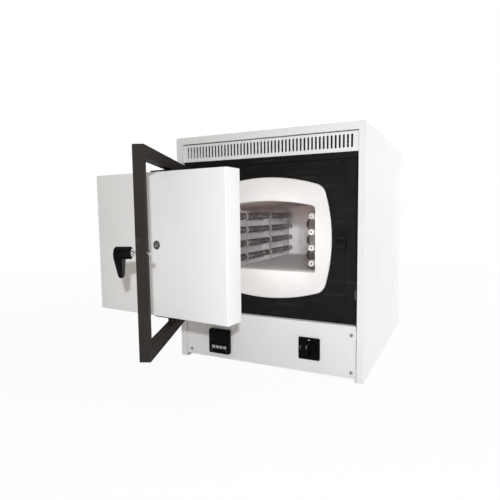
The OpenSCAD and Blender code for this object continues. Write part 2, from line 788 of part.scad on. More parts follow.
module thermocouple() color(zinc) seated() {
    bar(probe_x, probe_z, chamber_back - probe_in, shell_back + 2, probe_d);
    bar(probe_x, probe_z, shell_back + gap, shell_back + 11, 20);
}

module power_relay() color(black) seated() {
    low = tray_z + sheet + gap;
    front = case_d / 2 - 10;
    box([0, front, low], [relay_w, front + relay_l, low + relay_block_h]);
    for (i = [0 : 6]) translate([2 + i * relay_w * 0.15, front, low + relay_block_h - 1])
        cube([2.2, relay_l, relay_h - relay_block_h + 1]);
}

// Cable gland: hexagon outside, thread through the rear panel, nut inside.
module cable_gland() color(black) seated() translate([gland_x, 0, gland_z]) difference() {
    union() {
        bar(0, 0, rear_y - 12, case_d + 9, gland_d);
        translate([0, rear_y + sheet + gap, 0]) rotate([-90, 0, 0]) cylinder(h = 8, d = 27, $fn = 6);
        translate([0, rear_y - gap - 5, 0]) rotate([-90, 0, 0]) cylinder(h = 5, d = 27, $fn = 6);
        translate([0, case_d + 9, 0]) rotate([-90, 0, 0]) cylinder(h = 5, d1 = gland_d, d2 = 14);
    }
    bar(0, 0, rear_y - 13, case_d + 20, 8);
}

// ---- controls ----

ctl_body = 45;
ctl_y = panel_recess - ctl_out;
win_z = ctl_z + 9;
key_z = ctl_z - 13;
key_gap = 0.2;
function key_x(i) = (i - 2.5) * key_pitch - ctl_x;

module controller() color(black) seated() difference() {
    union() {
        slab(ctl_y, ctl_out) translate([-ctl_x, ctl_z]) round_rect(ctl_w, ctl_h, 3);
        slab(panel_recess, 78) translate([-ctl_x, ctl_z]) square(ctl_body, center = true);
    }
    slab(ctl_y - 1, 2.4) translate([-ctl_x, win_z]) square([win_w + 0.4, win_h + 0.4], center = true);
    for (i = [1 : 4]) slab(ctl_y - 1, 1 + 3.5 + key_travel) translate([key_x(i), key_z])
        square([key_w + 2 * key_gap, key_h + 2 * key_gap], center = true);
}

module controller_window() color([0.05, 0.05, 0.06]) seated()
    slab(ctl_y + 0.2, 1.1) translate([-ctl_x, win_z]) square([win_w, win_h], center = true);

module ctl_key(i) {
    slab(ctl_y - 0.6, 3.8) translate([key_x(i), key_z]) round_rect(key_w, key_h, 1.2);
}

module key_1() color(steel) seated() ctl_key(1);
module key_2() color(steel) seated() ctl_key(2);
module key_3() color(steel) seated() ctl_key(3);
module key_4() color(steel) seated() ctl_key(4);

switch_neck = 38;
switch_t = 3;
knob_y = panel_recess - switch_t - gap;
stem_d = 8;

module switch_base() color(black) seated() difference() {
    union() {
        slab(panel_recess - switch_t, switch_t)
            translate([switch_x, switch_z]) round_rect(switch_side, switch_side, 2.5);
        bar(switch_x, switch_z, panel_recess, 16, switch_neck);
        slab(12, 38) translate([switch_x, switch_z]) square(40, center = true);
    }
    bar(switch_x, switch_z, 0, 26, stem_d + 2 * pin_play);
}

// Turning knob: a skirt with a tapered finger bar and a stem that runs in the switch.
module switch_knob() color(black) seated() {
    bar(switch_x, switch_z, knob_y - 3, knob_y, knob_d);
    bar(switch_x, switch_z, knob_y - 1, 22, stem_d);
    translate([switch_x, knob_y - 3, switch_z]) rotate([90, 0, 0]) difference() {
        cylinder(h = grip_h, d1 = knob_d - 2, d2 = knob_d - 6);
        for (s = [0, 1]) mirror([s, 0, 0]) translate([4.5, -knob_d, -1])
            rotate([0, -4, 0]) cube([knob_d, 2 * knob_d, grip_h + 5]);
    }
}

// ---- hinge and catch ----

// Folded hinge brackets: a flange on the plate and a lug above or below the arm.
module hinge_brackets() color(black) seated() difference() {
    for (p = [[lower_lug_z, lower_lug_z], [upper_lug_z, upper_lug_z + lug_t - bracket_h]]) {
        slab(hinge_flange_y, lug_t) translate([-hinge_x - 12, p[1]]) square([24, bracket_h]);
        translate([0, 0, p[0]]) linear_extrude(lug_t) {
            translate([-hinge_x - 12, 0]) square([24, hinge_flange_y + lug_t]);
            translate([-hinge_x, 0]) circle(d = 24);
        }
    }
    post(-hinge_x, 0, lower_lug_z - 1, upper_lug_z + 10, pin_d + 2 * pin_play);
    slab(hinge_flange_y - 1, 10) for (p = hinge_spots) screw_hole(p);
}

// Hinge pins: the upper hangs in its lug, the lower drops through the arm into its lug.
module hinge_pins() color(black) seated() {
    upper = upper_lug_z + lug_t;
    post(-hinge_x, 0, yoke_high - arm_h - 2, upper + 2, pin_d);
    post(-hinge_x, 0, upper, upper + 2, pin_head_d);
    lower = yoke_low + arm_h + gap;
    post(-hinge_x, 0, lower_lug_z - 1.5, lower + 2, pin_d);
    post(-hinge_x, 0, lower, lower + 2, pin_head_d);
}

catch_y = 8.6;

// Catch: a bridge with a slot that the T-head passes, held by a tab on the plate.
module latch_catch() color(black) seated() difference() {
    back = field_y - gap;
    union() {
        box([catch_x - catch_half_w, catch_y, catch_low], [catch_x + catch_half_w, catch_y + sheet, catch_top + sheet]);
        box([catch_x - catch_half_w, catch_y, catch_top], [catch_x + catch_half_w, back, catch_top + sheet]);
        box([catch_x - catch_half_w, back - sheet, catch_top],
            [catch_x + catch_half_w, back, catch_top + sheet + 11]);
        for (s = [-1, 1]) translate([catch_x + s * (catch_half_w - sheet / 2), 0, 0])
            box([-sheet / 2, catch_y, catch_low], [sheet / 2, back, catch_top + sheet]);
    }
    slab(catch_y - 1, sheet + 2) translate([catch_x, latch_z])
        square([2 * slot_half_w, tee_h + 2 * tee_gap], center = true);
    slab(back - sheet - 1, 5) for (p = catch_spots) screw_hole(p);
}

// ---- yoke ----

// The yoke: two arms and an upright welded to a C, with bores for pins and shaft.
module yoke_frame() color(black) on_yoke() {
    left = -hinge_x - arm_tail;
    right = yoke_reach - hinge_x;
    r = yoke_corner_r;
    difference() {
        slab(-yoke_t / 2, yoke_t) difference() {
            union() {
                translate([left, yoke_low]) square([right - r - left, yoke_high - yoke_low]);
                translate([0, yoke_low + r]) square([right, yoke_high - yoke_low - 2 * r]);
                for (z = [yoke_low + r, yoke_high - r]) translate([right - r, z]) circle(r);
            }
            translate([left - 1, yoke_low + arm_h])
                square([right - upright_w - left + 1, yoke_high - yoke_low - 2 * arm_h]);
        }
        for (x = [-hinge_x, 0]) post(x, 0, yoke_low - 1, yoke_high + 1, pin_d + 2 * pin_play);
        bar(catch_x, latch_z, -yoke_t, yoke_t, shaft_d + 2 * pin_play);
    }
}

door_top = door_z + door_h / 2;
door_low = door_z - door_h / 2;
pin_in = 2.2;

// Pivot pins in the arms; each runs through a tab into the door's box.
module pivot_pins() color(zinc) on_yoke() {
    post(0, 0, door_top - pin_in, yoke_high + 2, pin_d);
    post(0, 0, yoke_high, yoke_high + 2, pin_head_d);
    post(0, 0, yoke_low - 2, door_low + pin_in, pin_d);
    post(0, 0, yoke_low - 2, yoke_low, pin_head_d);
}

module pivot_bushes() color(black) on_yoke() difference() {
    union() {
        post(0, 0, door_top + tab_t + gap, yoke_high - arm_h, pin_d + 8);
        post(0, 0, yoke_low + arm_h, door_low - tab_t - gap, pin_d + 8);
    }
    post(0, 0, yoke_low, yoke_high, pin_d + 2 * pin_play);
}

// ---- door ----

door_y = -door_pivot;
door_back = door_y + door_t;

// Box with bent front edges, drawn as two crossed extrusions.
module door_box(w, h, y0, y1, r) {
    intersection() {
        translate([0, 0, door_z - h / 2]) linear_extrude(h) bent_front(w, 0, y0, y1, r);
        rotate([90, 0, 90]) translate([0, 0, -w / 2]) linear_extrude(w)
            rotate(90) mirror([0, 1]) bent_front(h, door_z, y0, y1, r);
    }
}

module bent_front(w, mid_x, y0, y1, r) {
    translate([mid_x, 0]) {
        translate([-w / 2, y0 + r]) square([w, y1 - y0 - r]);
        translate([r - w / 2, y0]) square([w - 2 * r, y1 - y0]);
        for (s = [-1, 1]) translate([s * (w / 2 - r), y0 + r]) circle(r);
    }
}

module door_shell() color(steel) on_door() difference() {
    door_box(door_w, door_h, door_y, door_back, door_bend_r);
    door_box(door_w - 2 * sheet, door_h - 2 * sheet, door_y + sheet, door_back + 1, door_bend_r - sheet);
    post(0, 0, door_low - 1, door_top + 1, pin_d + 0.8);
    bar(0, door_z, door_y - 1, door_y + 5, recess_d);
}

// Tabs on the door's top and foot, with the bores that run on the pivot pins.
module door_tabs() color(black) on_door() difference() {
    for (z = [door_top, door_low - tab_t]) translate([0, 0, z]) linear_extrude(tab_t) {
        translate([-tab_w / 2, door_y + 6]) square([tab_w, door_t - 4]);
        translate([0, door_back - 2]) slot_tab(tab_w / 2 - 1);
    }
    post(0, 0, door_low - 10, door_top + 10, pin_d + 2 * pin_play);
}

module slot_tab(r) {
    intersection() {
        circle(r);
        translate([-r, 0]) square([2 * r, 8]);
    }
}

pad_back = door_back - 0.5;
fill_w = door_w - 2 * sheet - 2 * gap;

// Insulation that fills the door's box, cut back where the pivot pins end.
module door_filling() color(fibre) on_door() difference() {
    slab(door_y + sheet + gap, pad_back - gap - door_y - sheet - gap)
        translate([0, door_z]) square([fill_w, door_h - 2 * sheet - 2 * gap], center = true);
    for (z = [door_top, door_low]) post(0, 0, z - pin_in - 1, z + pin_in + 1, pin_d + 6);
    bar(0, door_z, door_y, door_y + 14, recess_d + 1);
}

// Frame round the pad that closes the door's box at the back.
module door_back_frame() color(zinc) on_door() slab(door_back + gap, 1) difference() {
    translate([0, door_z]) square([door_w - 1, door_h - 1], center = true);
    polygon(collar_points(gap - pad_inset));
}

module door_pad() color(fibre) on_door()
    slab(pad_back, collar_face_y - seat_gap - pad_back) polygon(collar_points(-pad_inset));

// Dished washer and bolt head in the round recess of the door's face.
module door_bolt() color(zinc) on_door() {
    difference() {
        bar(0, door_z, door_y + 0.3, door_y + 5, recess_d - 0.4);
        bar(0, door_z, door_y, door_y + 3, recess_d - 3.4);
    }
    translate([0, door_y + 0.8, door_z]) rotate([-90, 0, 0]) cylinder(h = 4, d = 8, $fn = 6);
    bar(0, door_z, door_y + 4.5, door_y + 13, 5);
}

// ---- clamping lever, drawn latch open with its arm hanging ----

hub_y0 = -yoke_t / 2 - 7.5 - hub_l;
hub_y1 = hub_y0 + hub_l;
arm_y1 = hub_y0 + hub_l / 2;

// Side view of the lever's arm, in depth and height below the axis.
function arm_side() = [[hub_y0, 0], [hub_y0 + 0.4, -8], [hub_y0 + 5, 3 - lever_l], [hub_y0 + 7, -lever_l],
    [hub_y0 + 9.5, -lever_l], [hub_y0 + 11.5, 3 - lever_l], [arm_y1, -hub_d / 2], [arm_y1, 0]];

// Front view of the lever's arm: tapered from the hub to a round tip.
function arm_front() = concat([[-hub_d / 2, 0], [-hub_d / 2 + 0.5, -hub_d / 4]],
    arc([0, 5 - lever_l], 5, 190, 350, 8), [[hub_d / 2 - 0.5, -hub_d / 4], [hub_d / 2, 0]]);

module lever_grip() color(black) on_yoke() translate([catch_x, 0, latch_z]) difference() {
    union() {
        bar(0, 0, hub_y0 + 1.5, hub_y1 - 1.5, hub_d);
        for (e = [[hub_y0, hub_d - 3, hub_d], [hub_y1 - 1.5, hub_d, hub_d - 3]])
            translate([0, e[0], 0]) rotate([-90, 0, 0]) cylinder(h = 1.5, d1 = e[1], d2 = e[2]);
        intersection() {
            slab(hub_y0, hub_l) polygon(arm_front());
            rotate([90, 0, 90]) translate([0, 0, -hub_d / 2]) linear_extrude(hub_d) polygon(arm_side());
        }
    }
    bar(0, 0, hub_y0 + 8, hub_y1 + 1, 13.4);
}

module lever_insert() color(zinc) on_yoke() translate([catch_x, 0, latch_z]) difference() {
    bar(0, 0, hub_y0 + 8.3, hub_y1 + 2, 13);
    bar(0, 0, hub_y0 + 12, hub_y1 + 3, shaft_d + 0.3);
}

// Shaft through the upright with the T-head that locks behind the catch.
module latch_shaft() color(zinc) on_yoke() translate([catch_x, 0, latch_z]) {
    bar(0, 0, hub_y0 + 12.3, yoke_t / 2 + 2.5 + tee_t, shaft_d - 2 * pin_play);
    slab(yoke_t / 2 + 2.5, tee_t) intersection() {
        square([tee_l, tee_h], center = true);
        circle(d = tee_l);
    }
}

casing();
base_tray();
rear_panel();
rear_screws();
side_screws();
vent_grille();
front_plate();
plate_screws();
plate_clip();
control_panel();
control_screws();
chamber_collar();
muffle();
insulation_jacket();
inner_shell();
shell_rails();
heater_tubes_left();
heater_tubes_right();
heater_coils_left();
heater_coils_right();
combs_left();
combs_right();
heater_leads();
lead_ferrules();
terminal_block();
thermocouple();
power_relay();
cable_gland();
controller();
controller_window();
key_1();
key_2();
key_3();
key_4();
switch_base();
switch_knob();
latch_catch();
hinge_brackets();
hinge_pins();
yoke_frame();
pivot_pins();
pivot_bushes();
door_shell();
door_tabs();
door_filling();
door_back_frame();
door_pad();
door_bolt();
lever_grip();
lever_insert();
latch_shaft();
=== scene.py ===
import math
import bmesh
import bpy
from mathutils import Matrix, Vector


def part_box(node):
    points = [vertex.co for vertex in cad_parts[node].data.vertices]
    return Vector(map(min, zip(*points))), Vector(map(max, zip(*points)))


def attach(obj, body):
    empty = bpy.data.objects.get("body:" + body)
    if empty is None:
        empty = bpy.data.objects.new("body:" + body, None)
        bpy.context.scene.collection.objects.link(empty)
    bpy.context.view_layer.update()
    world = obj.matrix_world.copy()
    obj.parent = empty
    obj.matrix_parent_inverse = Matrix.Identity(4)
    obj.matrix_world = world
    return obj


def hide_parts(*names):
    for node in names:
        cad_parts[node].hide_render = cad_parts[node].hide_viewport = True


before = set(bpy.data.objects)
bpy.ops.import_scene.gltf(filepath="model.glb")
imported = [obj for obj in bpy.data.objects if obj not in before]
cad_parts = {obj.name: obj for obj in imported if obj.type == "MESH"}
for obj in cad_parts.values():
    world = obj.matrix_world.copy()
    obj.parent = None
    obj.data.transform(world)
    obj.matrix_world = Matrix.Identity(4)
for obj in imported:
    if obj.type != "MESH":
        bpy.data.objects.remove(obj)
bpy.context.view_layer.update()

MM = 0.001


# ---------------------------------------------------------------------------
# Studio: a pale floor without an edge, an even white surround, a small flash
# above the camera, a large panel at the right for the side wall, a soft panel
# overhead, and a weak beam that lights only the collar and the chamber.

def lamp(name, place, aim, power, size, colour, spread=180):
    """A square area light at a place, aimed at another."""
    light = bpy.data.lights.new(name, "AREA")
    light.shape = "RECTANGLE"
    light.size = size
    light.size_y = size
    light.energy = power
    light.color = colour
    light.spread = math.radians(spread)
    holder = bpy.data.objects.new(name, light)
    holder.location = place
    holder.rotation_euler = (Vector(aim) - Vector(place)).to_track_quat("-Z", "Y").to_euler()
    bpy.context.scene.collection.objects.link(holder)
    return holder


def add_node(tree, kind, values=(), **settings):
    """A new node with its settings and the values of its named inputs."""
    node = tree.nodes.new(kind)
    for name, value in settings.items():
        setattr(node, name, value)
    for name, value in dict(values).items():
        node.inputs[name].default_value = value
    return node


def plug(tree, *pairs):
    """Links pairs of sockets, each an output and the input it feeds."""
    for source, target in pairs:
        tree.links.new(source, target)


camera_place = Vector((0.3885, -1.0517, 0.3417))
yaw, pitch, roll = math.radians(24.816), math.radians(5.114), math.radians(-0.421)
look = Vector((-math.sin(yaw) * math.cos(pitch), math.cos(yaw) * math.cos(pitch), -math.sin(pitch)))
side = Vector((math.cos(yaw), math.sin(yaw), 0))
up = side.cross(look)
side_rolled = side * math.cos(roll) + up * math.sin(roll)
up_rolled = up * math.cos(roll) - side * math.sin(roll)
camera_data = bpy.data.cameras.new("camera")
camera_data.lens = 29.827
camera_data.sensor_width = 36
camera_data.shift_x = -0.04
camera_data.clip_start = 0.01
camera = bpy.data.objects.new("camera", camera_data)
camera_turn = Matrix((side_rolled, up_rolled, -look)).transposed().to_4x4()
camera.matrix_world = Matrix.Translation(camera_place) @ camera_turn
bpy.context.scene.collection.objects.link(camera)
bpy.context.scene.camera = camera
bpy.context.scene.view_settings.view_transform = "Standard"

lamp("flash", (0.545, -1.28, 0.52), (-0.05, -0.3, 0.26), 8.1, 0.03, (0.9, 0.94, 1.0))
lamp("side_panel", (1.5, 1.05, 0.7), (0.22, 0, 0.26), 24.3, 1.2, (0.93, 0.96, 1.0))
lamp("overhead", (-0.2, -0.5, 2.1), (0, -0.1, 0.2), 8.0, 1.6, (1, 1, 1))
beam = lamp("chamber_beam", (0.36, -1.06, 0.34), (-0.015, -0.1, 0.278), 0.041, 0.05,
            (1.0, 0.95, 0.96), 14)
inside = bpy.data.collections.new("inside")
beam.light_linking.receiver_collection = inside

world = bpy.data.worlds.new("surround")
bpy.context.scene.world = world
world.use_nodes = True
tree = world.node_tree
sky = tree.nodes["Background"]
sky.inputs["Color"].default_value = (1, 0.905, 0.76, 1)
sky.inputs["Strength"].default_value = 0.29
seen = add_node(tree, "ShaderNodeBackground", {"Color": (1, 1, 1, 1), "Strength": 1.0})
rays = add_node(tree, "ShaderNodeLightPath")
direct = add_node(tree, "ShaderNodeMath", operation="MAXIMUM")
either = add_node(tree, "ShaderNodeMixShader")
plug(tree, (rays.outputs["Is Camera Ray"], direct.inputs[0]),
     (rays.outputs["Is Transmission Ray"], direct.inputs[1]),
     (direct.outputs[0], either.inputs[0]), (sky.outputs[0], either.inputs[1]),
     (seen.outputs[0], either.inputs[2]),
     (either.outputs[0], tree.nodes["World Output"].inputs["Surface"]))

bpy.ops.mesh.primitive_circle_add(vertices=96, radius=5.0, fill_type="NGON", location=(0, 0, 0))
floor = bpy.context.object
floor.name = "floor"
floor_paint = bpy.data.materials.new("pale_floor")
floor_paint.use_nodes = True
tree = floor_paint.node_tree
matt = tree.nodes["Principled BSDF"]
matt.inputs["Base Color"].default_value = (0.9, 0.9, 0.9, 1)
matt.inputs["Roughness"].default_value = 0.9
glow = add_node(tree, "ShaderNodeEmission")
rays = add_node(tree, "ShaderNodeLightPath")
spot = add_node(tree, "ShaderNodeTexCoord")
reach = add_node(tree, "ShaderNodeVectorMath", operation="LENGTH")
fade = add_node(tree, "ShaderNodeMapRange", {"From Min": 0.5, "From Max": 2.2, "To Min": 0.94, "To Max": 1.0})
only_seen = add_node(tree, "ShaderNodeMath", operation="MULTIPLY")
mix = add_node(tree, "ShaderNodeMixShader")
plug(tree, (spot.outputs["Object"], reach.inputs[0]), (reach.outputs["Value"], fade.inputs["Value"]),
     (fade.outputs[0], only_seen.inputs[0]), (rays.outputs["Is Camera Ray"], only_seen.inputs[1]),
     (only_seen.outputs[0], mix.inputs[0]), (matt.outputs[0], mix.inputs[1]),
     (glow.outputs[0], mix.inputs[2]), (mix.outputs[0], tree.nodes["Material Output"].inputs["Surface"]))
floor.data.materials.append(floor_paint)


# ---------------------------------------------------------------------------
# Casing: one sheet folded over the top and down both sides, with a flange bent
# in round the front. Steel, 1.5 mm, with a white powder coat that has a fine
# orange-peel skin. The chassis tray is screwed to it through the side walls.

def finish(name, rough, metal=0.0, gloss=0.5):
    """A new material with its node tree, its shader and the piece's own coordinates."""
    material = bpy.data.materials.new(name)
    material.use_nodes = True
    tree = material.node_tree
    shader = tree.nodes["Principled BSDF"]
    shader.inputs["Roughness"].default_value = rough
    shader.inputs["Metallic"].default_value = metal
    shader.inputs["Specular IOR Level"].default_value = gloss
    return material, tree, shader, add_node(tree, "ShaderNodeTexCoord").outputs["Object"]


def mottle(tree, coords, scale, detail=3.0, stretch=None):
    """Soft noise of so many lumps per metre, pulled out along an axis if asked."""
    if stretch:
        mapping = add_node(tree, "ShaderNodeMapping", {"Scale": stretch})
        plug(tree, (coords, mapping.inputs["Vector"]))
        coords = mapping.outputs["Vector"]
    noise = add_node(tree, "ShaderNodeTexNoise", {"Scale": scale, "Detail": detail})
    plug(tree, (coords, noise.inputs["Vector"]))
    return noise.outputs["Fac"]


def tones(tree, factor, stops):
    """Colours along a ramp, each stop a place and a grey or a colour."""
    ramp = add_node(tree, "ShaderNodeValToRGB")
    ramp.color_ramp.elements.remove(ramp.color_ramp.elements[1])
    for index, (place, colour) in enumerate(stops):
        mark = ramp.color_ramp.elements[0] if index == 0 else ramp.color_ramp.elements.new(place)
        mark.position = place
        mark.color = (*colour, 1) if isinstance(colour, tuple) else (colour, colour, colour, 1)
    plug(tree, (factor, ramp.inputs["Fac"]))
    return ramp.outputs["Color"]


def over(tree, factor, low, high):
    """Two colours mixed by a factor, which may be a number or a socket."""
    mix = add_node(tree, "ShaderNodeMix", data_type="RGBA")
    for socket, value in ((mix.inputs[0], factor), (mix.inputs[6], low), (mix.inputs[7], high)):
        if isinstance(value, bpy.types.NodeSocket):
            plug(tree, (value, socket))
        else:
            socket.default_value = (*value, 1) if isinstance(value, tuple) else value
    return mix.outputs[2]


def relief(tree, shader, height, depth, under=None):
    """Bump of so many metres' depth, over an earlier one if there is one."""
    bump = add_node(tree, "ShaderNodeBump", {"Distance": depth, "Strength": 1.0})
    plug(tree, (height, bump.inputs["Height"]), (bump.outputs["Normal"], shader.inputs["Normal"]))
    if under:
        plug(tree, (under, bump.inputs["Normal"]))
    return bump.outputs["Normal"]


def ranged(tree, factor, low, high):
    """A factor from 0 to 1 laid between two values."""
    span = add_node(tree, "ShaderNodeMapRange", {"To Min": low, "To Max": high})
    plug(tree, (factor, span.inputs["Value"]))
    return span.outputs[0]


def lay_on(tree, shader, base, rough=None):
    """Feeds a shader its colour and, if given, its roughness."""
    plug(tree, (base, shader.inputs["Base Color"]))
    if rough:
        plug(tree, (rough, shader.inputs["Roughness"]))


white_coat, tree, shader, at = finish("white_powder_coat", 0.5, 0.0, 0.3)
cloud = mottle(tree, at, 5, 4)
peel = mottle(tree, at, 750, 2)
specks = mottle(tree, at, 2600, 1)
paint = tones(tree, cloud, [(0.3, (0.795, 0.785, 0.775)), (0.7, (0.835, 0.828, 0.82))])
paint = over(tree, ranged(tree, specks, 0.0, 0.08), paint, (0.6, 0.59, 0.58))
lay_on(tree, shader, paint, ranged(tree, peel, 0.46, 0.62))
relief(tree, shader, specks, 0.000012, relief(tree, shader, peel, 0.00007))


def add_object(name, mesh):
    """Links a mesh to the scene as an object at the origin."""
    piece = bpy.data.objects.new(name, mesh)
    bpy.context.scene.collection.objects.link(piece)
    return piece


def settle(piece, angle):
    """Turns a piece's modifiers into plain mesh, smooth up to an angle if one is given."""
    bpy.context.view_layer.update()
    mesh = bpy.data.meshes.new_from_object(piece.evaluated_get(bpy.context.evaluated_depsgraph_get()))
    piece.modifiers.clear()
    piece.data = mesh
    if angle:
        mesh.shade_smooth()
        mesh.set_sharp_from_angle(angle=math.radians(angle))
    return piece


same_place = 2e-6
flat_angle, edge_angle, crease_angle = (math.radians(a) for a in (0.5, 30, 45))


def worked(node, name, edge, steps=2):
    """A merged copy of a CAD piece whose sharp edges are broken by a small round."""
    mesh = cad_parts[node].data.copy()
    mesh.name = name
    bm = bmesh.new()
    bm.from_mesh(mesh)
    bmesh.ops.remove_doubles(bm, verts=bm.verts, dist=same_place)
    bmesh.ops.dissolve_limit(bm, angle_limit=flat_angle, verts=bm.verts, edges=bm.edges)
    bm.to_mesh(mesh)
    bm.free()
    mesh.shade_smooth()
    mesh.set_sharp_from_angle(angle=crease_angle)
    piece = add_object(name, mesh)
    bevel = piece.modifiers.new("broken edge", "BEVEL")
    bevel.width = edge
    bevel.segments = steps
    bevel.limit_method = "ANGLE"
    bevel.angle_limit = edge_angle
    bevel.harden_normals = True
    return settle(piece, None)


def fit(piece, material, body, node):
    """Gives a piece its finish, lets it ride on its body and stand for a CAD piece."""
    piece.data.materials.clear()
    piece.data.materials.append(material)
    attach(piece, body)
    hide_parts(node)


def refine(node, name, edge, material, body, steps=2):
    """Puts a worked copy with a finish in a CAD piece's place."""
    piece = worked(node, name, edge, steps)
    fit(piece, material, body, node)
    return piece


def dress(node, material):
    """Gives a CAD piece a finish without touching its mesh."""
    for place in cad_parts[node].material_slots:
        place.material = material


refine("casing", "casing_shell", 0.0005, white_coat, "furnace")


# ---------------------------------------------------------------------------
# Tray, inner shell and rear panel: galvanised sheet with its pale spangle for
# what lies inside, screwed to the casing, and a coated sheet that closes the back.

galvanised, tree, shader, at = finish("galvanised_sheet", 0.42, 0.85)
cells = add_node(tree, "ShaderNodeTexVoronoi", {"Scale": 110})
plug(tree, (at, cells.inputs["Vector"]))
spangle = tones(tree, cells.outputs["Color"], [(0.1, (0.46, 0.47, 0.48)), (0.9, (0.68, 0.69, 0.7))])
lay_on(tree, shader, spangle, ranged(tree, mottle(tree, at, 160), 0.32, 0.52))
relief(tree, shader, mottle(tree, at, 700), 0.00002)
for node in ("base_tray", "inner_shell", "shell_rails"):
    dress(node, galvanised)

dress("rear_panel", white_coat)


# ---------------------------------------------------------------------------
# Vent grille: a strip of the same coated sheet, punched with a row of round-
# ended slots, bent back along its foot and dropped in behind the top flange.

def as_mesh(bm, name):
    """Keeps a bmesh as a mesh and frees it."""
    mesh = bpy.data.meshes.new(name)
    bm.to_mesh(mesh)
    bm.free()
    return mesh


def outward(bm, name):
    """Turns a bmesh's faces outward and keeps it as a mesh."""
    bmesh.ops.recalc_face_normals(bm, faces=bm.faces)
    return as_mesh(bm, name)


def skin(bm, loops):
    """Faces between each loop of points and the next."""
    for a, b in zip(loops, loops[1:]):
        for i in range(len(a)):
            j = (i + 1) % len(a)
            bm.faces.new((a[i], a[j], b[j], b[i]))


def punched_cell(width, height, slot_width, slot_height, thickness):
    """A rectangle of sheet with a round-ended slot and the slot's walls."""
    bm = bmesh.new()
    r = slot_width / 2
    straight = slot_height / 2 - r
    arc_steps = 6
    inner = []
    for quarter, end_z in enumerate((straight, straight, -straight, -straight)):
        for step in range(arc_steps + 1):
            if step == arc_steps and quarter in (0, 2):
                continue
            a = math.pi / 2 * (quarter + step / arc_steps)
            inner.append((r * math.cos(a), end_z + r * math.sin(a)))
    outer = []
    for x, z in inner:
        scale = max(abs(x) / (width / 2), abs(z) / (height / 2), 1e-9)
        outer.append((x / scale, z / scale))
    for cx, cz in ((1, 1), (-1, 1), (-1, -1), (1, -1)):
        cx, cz = cx * width / 2, cz * height / 2
        near = min(range(len(outer)), key=lambda i: (outer[i][0] - cx) ** 2 + (outer[i][1] - cz) ** 2)
        outer[near] = (cx, cz)
    skin(bm, [[bm.verts.new((x, y, z)) for x, z in points]
              for points, y in ((outer, 0.0), (inner, 0.0), (inner, thickness), (outer, thickness))])
    return outward(bm, "cell")


def node_tree(name, sockets):
    """A Geometry Nodes tree with named inputs, its input and its output node."""
    tree = bpy.data.node_groups.new(name, "GeometryNodeTree")
    tree.interface.new_socket("Geometry", in_out="OUTPUT", socket_type="NodeSocketGeometry")
    tree.interface.new_socket("Geometry", in_out="INPUT", socket_type="NodeSocketGeometry")
    for label, kind in sockets:
        tree.interface.new_socket(label, in_out="INPUT", socket_type=kind)
    return tree, tree.nodes.new("NodeGroupInput"), tree.nodes.new("NodeGroupOutput")


def run_nodes(name, base, tree, values, angle=35):
    """Runs a tree on a base mesh and keeps the result as a plain mesh."""
    piece = add_object(name, base)
    modifier = piece.modifiers.new("build", "NODES")
    modifier.node_group = tree
    for item in tree.interface.items_tree:
        if item.in_out == "INPUT" and item.name in values:
            modifier[item.identifier] = values[item.name]
    return settle(piece, angle)


punch, start, end = node_tree("punched_row", [
    ("Cell", "NodeSocketObject"), ("Slots", "NodeSocketInt"), ("Pitch", "NodeSocketFloat"),
    ("Finish", "NodeSocketMaterial")])
line = add_node(punch, "GeometryNodeMeshLine")
span = add_node(punch, "ShaderNodeMath", operation="MULTIPLY")
gaps = add_node(punch, "ShaderNodeMath", {1: 1.0}, operation="SUBTRACT")
half = add_node(punch, "ShaderNodeMath", {1: -0.5}, operation="MULTIPLY")
step = add_node(punch, "ShaderNodeCombineXYZ")
first = add_node(punch, "ShaderNodeCombineXYZ")
cell = add_node(punch, "GeometryNodeObjectInfo")
copies = add_node(punch, "GeometryNodeInstanceOnPoints")
joined = add_node(punch, "GeometryNodeJoinGeometry")
real = add_node(punch, "GeometryNodeRealizeInstances")
weld = add_node(punch, "GeometryNodeMergeByDistance", {"Distance": 0.00001})
cover = add_node(punch, "GeometryNodeSetMaterial")
plug(punch, (start.outputs["Slots"], line.inputs["Count"]), (start.outputs["Slots"], gaps.inputs[0]),
     (gaps.outputs[0], span.inputs[0]), (start.outputs["Pitch"], span.inputs[1]),
     (span.outputs[0], half.inputs[0]), (half.outputs[0], first.inputs["X"]),
     (start.outputs["Pitch"], step.inputs["X"]), (first.outputs[0], line.inputs["Start Location"]),
     (step.outputs[0], line.inputs["Offset"]), (start.outputs["Cell"], cell.inputs["Object"]),
     (line.outputs["Mesh"], copies.inputs["Points"]), (cell.outputs["Geometry"], copies.inputs["Instance"]),
     (copies.outputs["Instances"], joined.inputs["Geometry"]),
     (start.outputs["Geometry"], joined.inputs["Geometry"]), (joined.outputs[0], real.inputs[0]),
     (real.outputs[0], weld.inputs["Geometry"]), (weld.outputs["Geometry"], cover.inputs["Geometry"]),
     (start.outputs["Finish"], cover.inputs["Material"]), (cover.outputs["Geometry"], end.inputs["Geometry"]))

low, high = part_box("vent_grille")
slots, pitch = 48, 8.145 * MM
slot_w, slot_h = 4.0 * MM, 26.0 * MM
sheet = 1.5 * MM
row_h = 30.0 * MM
top_gap = 1.3 * MM
front_y = low[1]
row_mid = (low[2] + high[2]) / 2 + 0.5 * MM
row_end = slots * pitch / 2
cell_mesh = punched_cell(pitch, row_h, slot_w, slot_h, sheet)
cell_mesh.transform(Matrix.Translation((0, front_y, row_mid)))
cell_piece = add_object("cell", cell_mesh)


def block_of(bm, x0, x1, z0, z1, y0, y1):
    """A closed block between two corners."""
    made = bmesh.ops.create_cube(bm, size=1.0)
    size = Vector((x1 - x0, y1 - y0, z1 - z0))
    mid = Vector(((x0 + x1) / 2, (y0 + y1) / 2, (z0 + z1) / 2))
    for vert in made["verts"]:
        vert.co = Vector((vert.co.x * size.x, vert.co.y * size.y, vert.co.z * size.z)) + mid


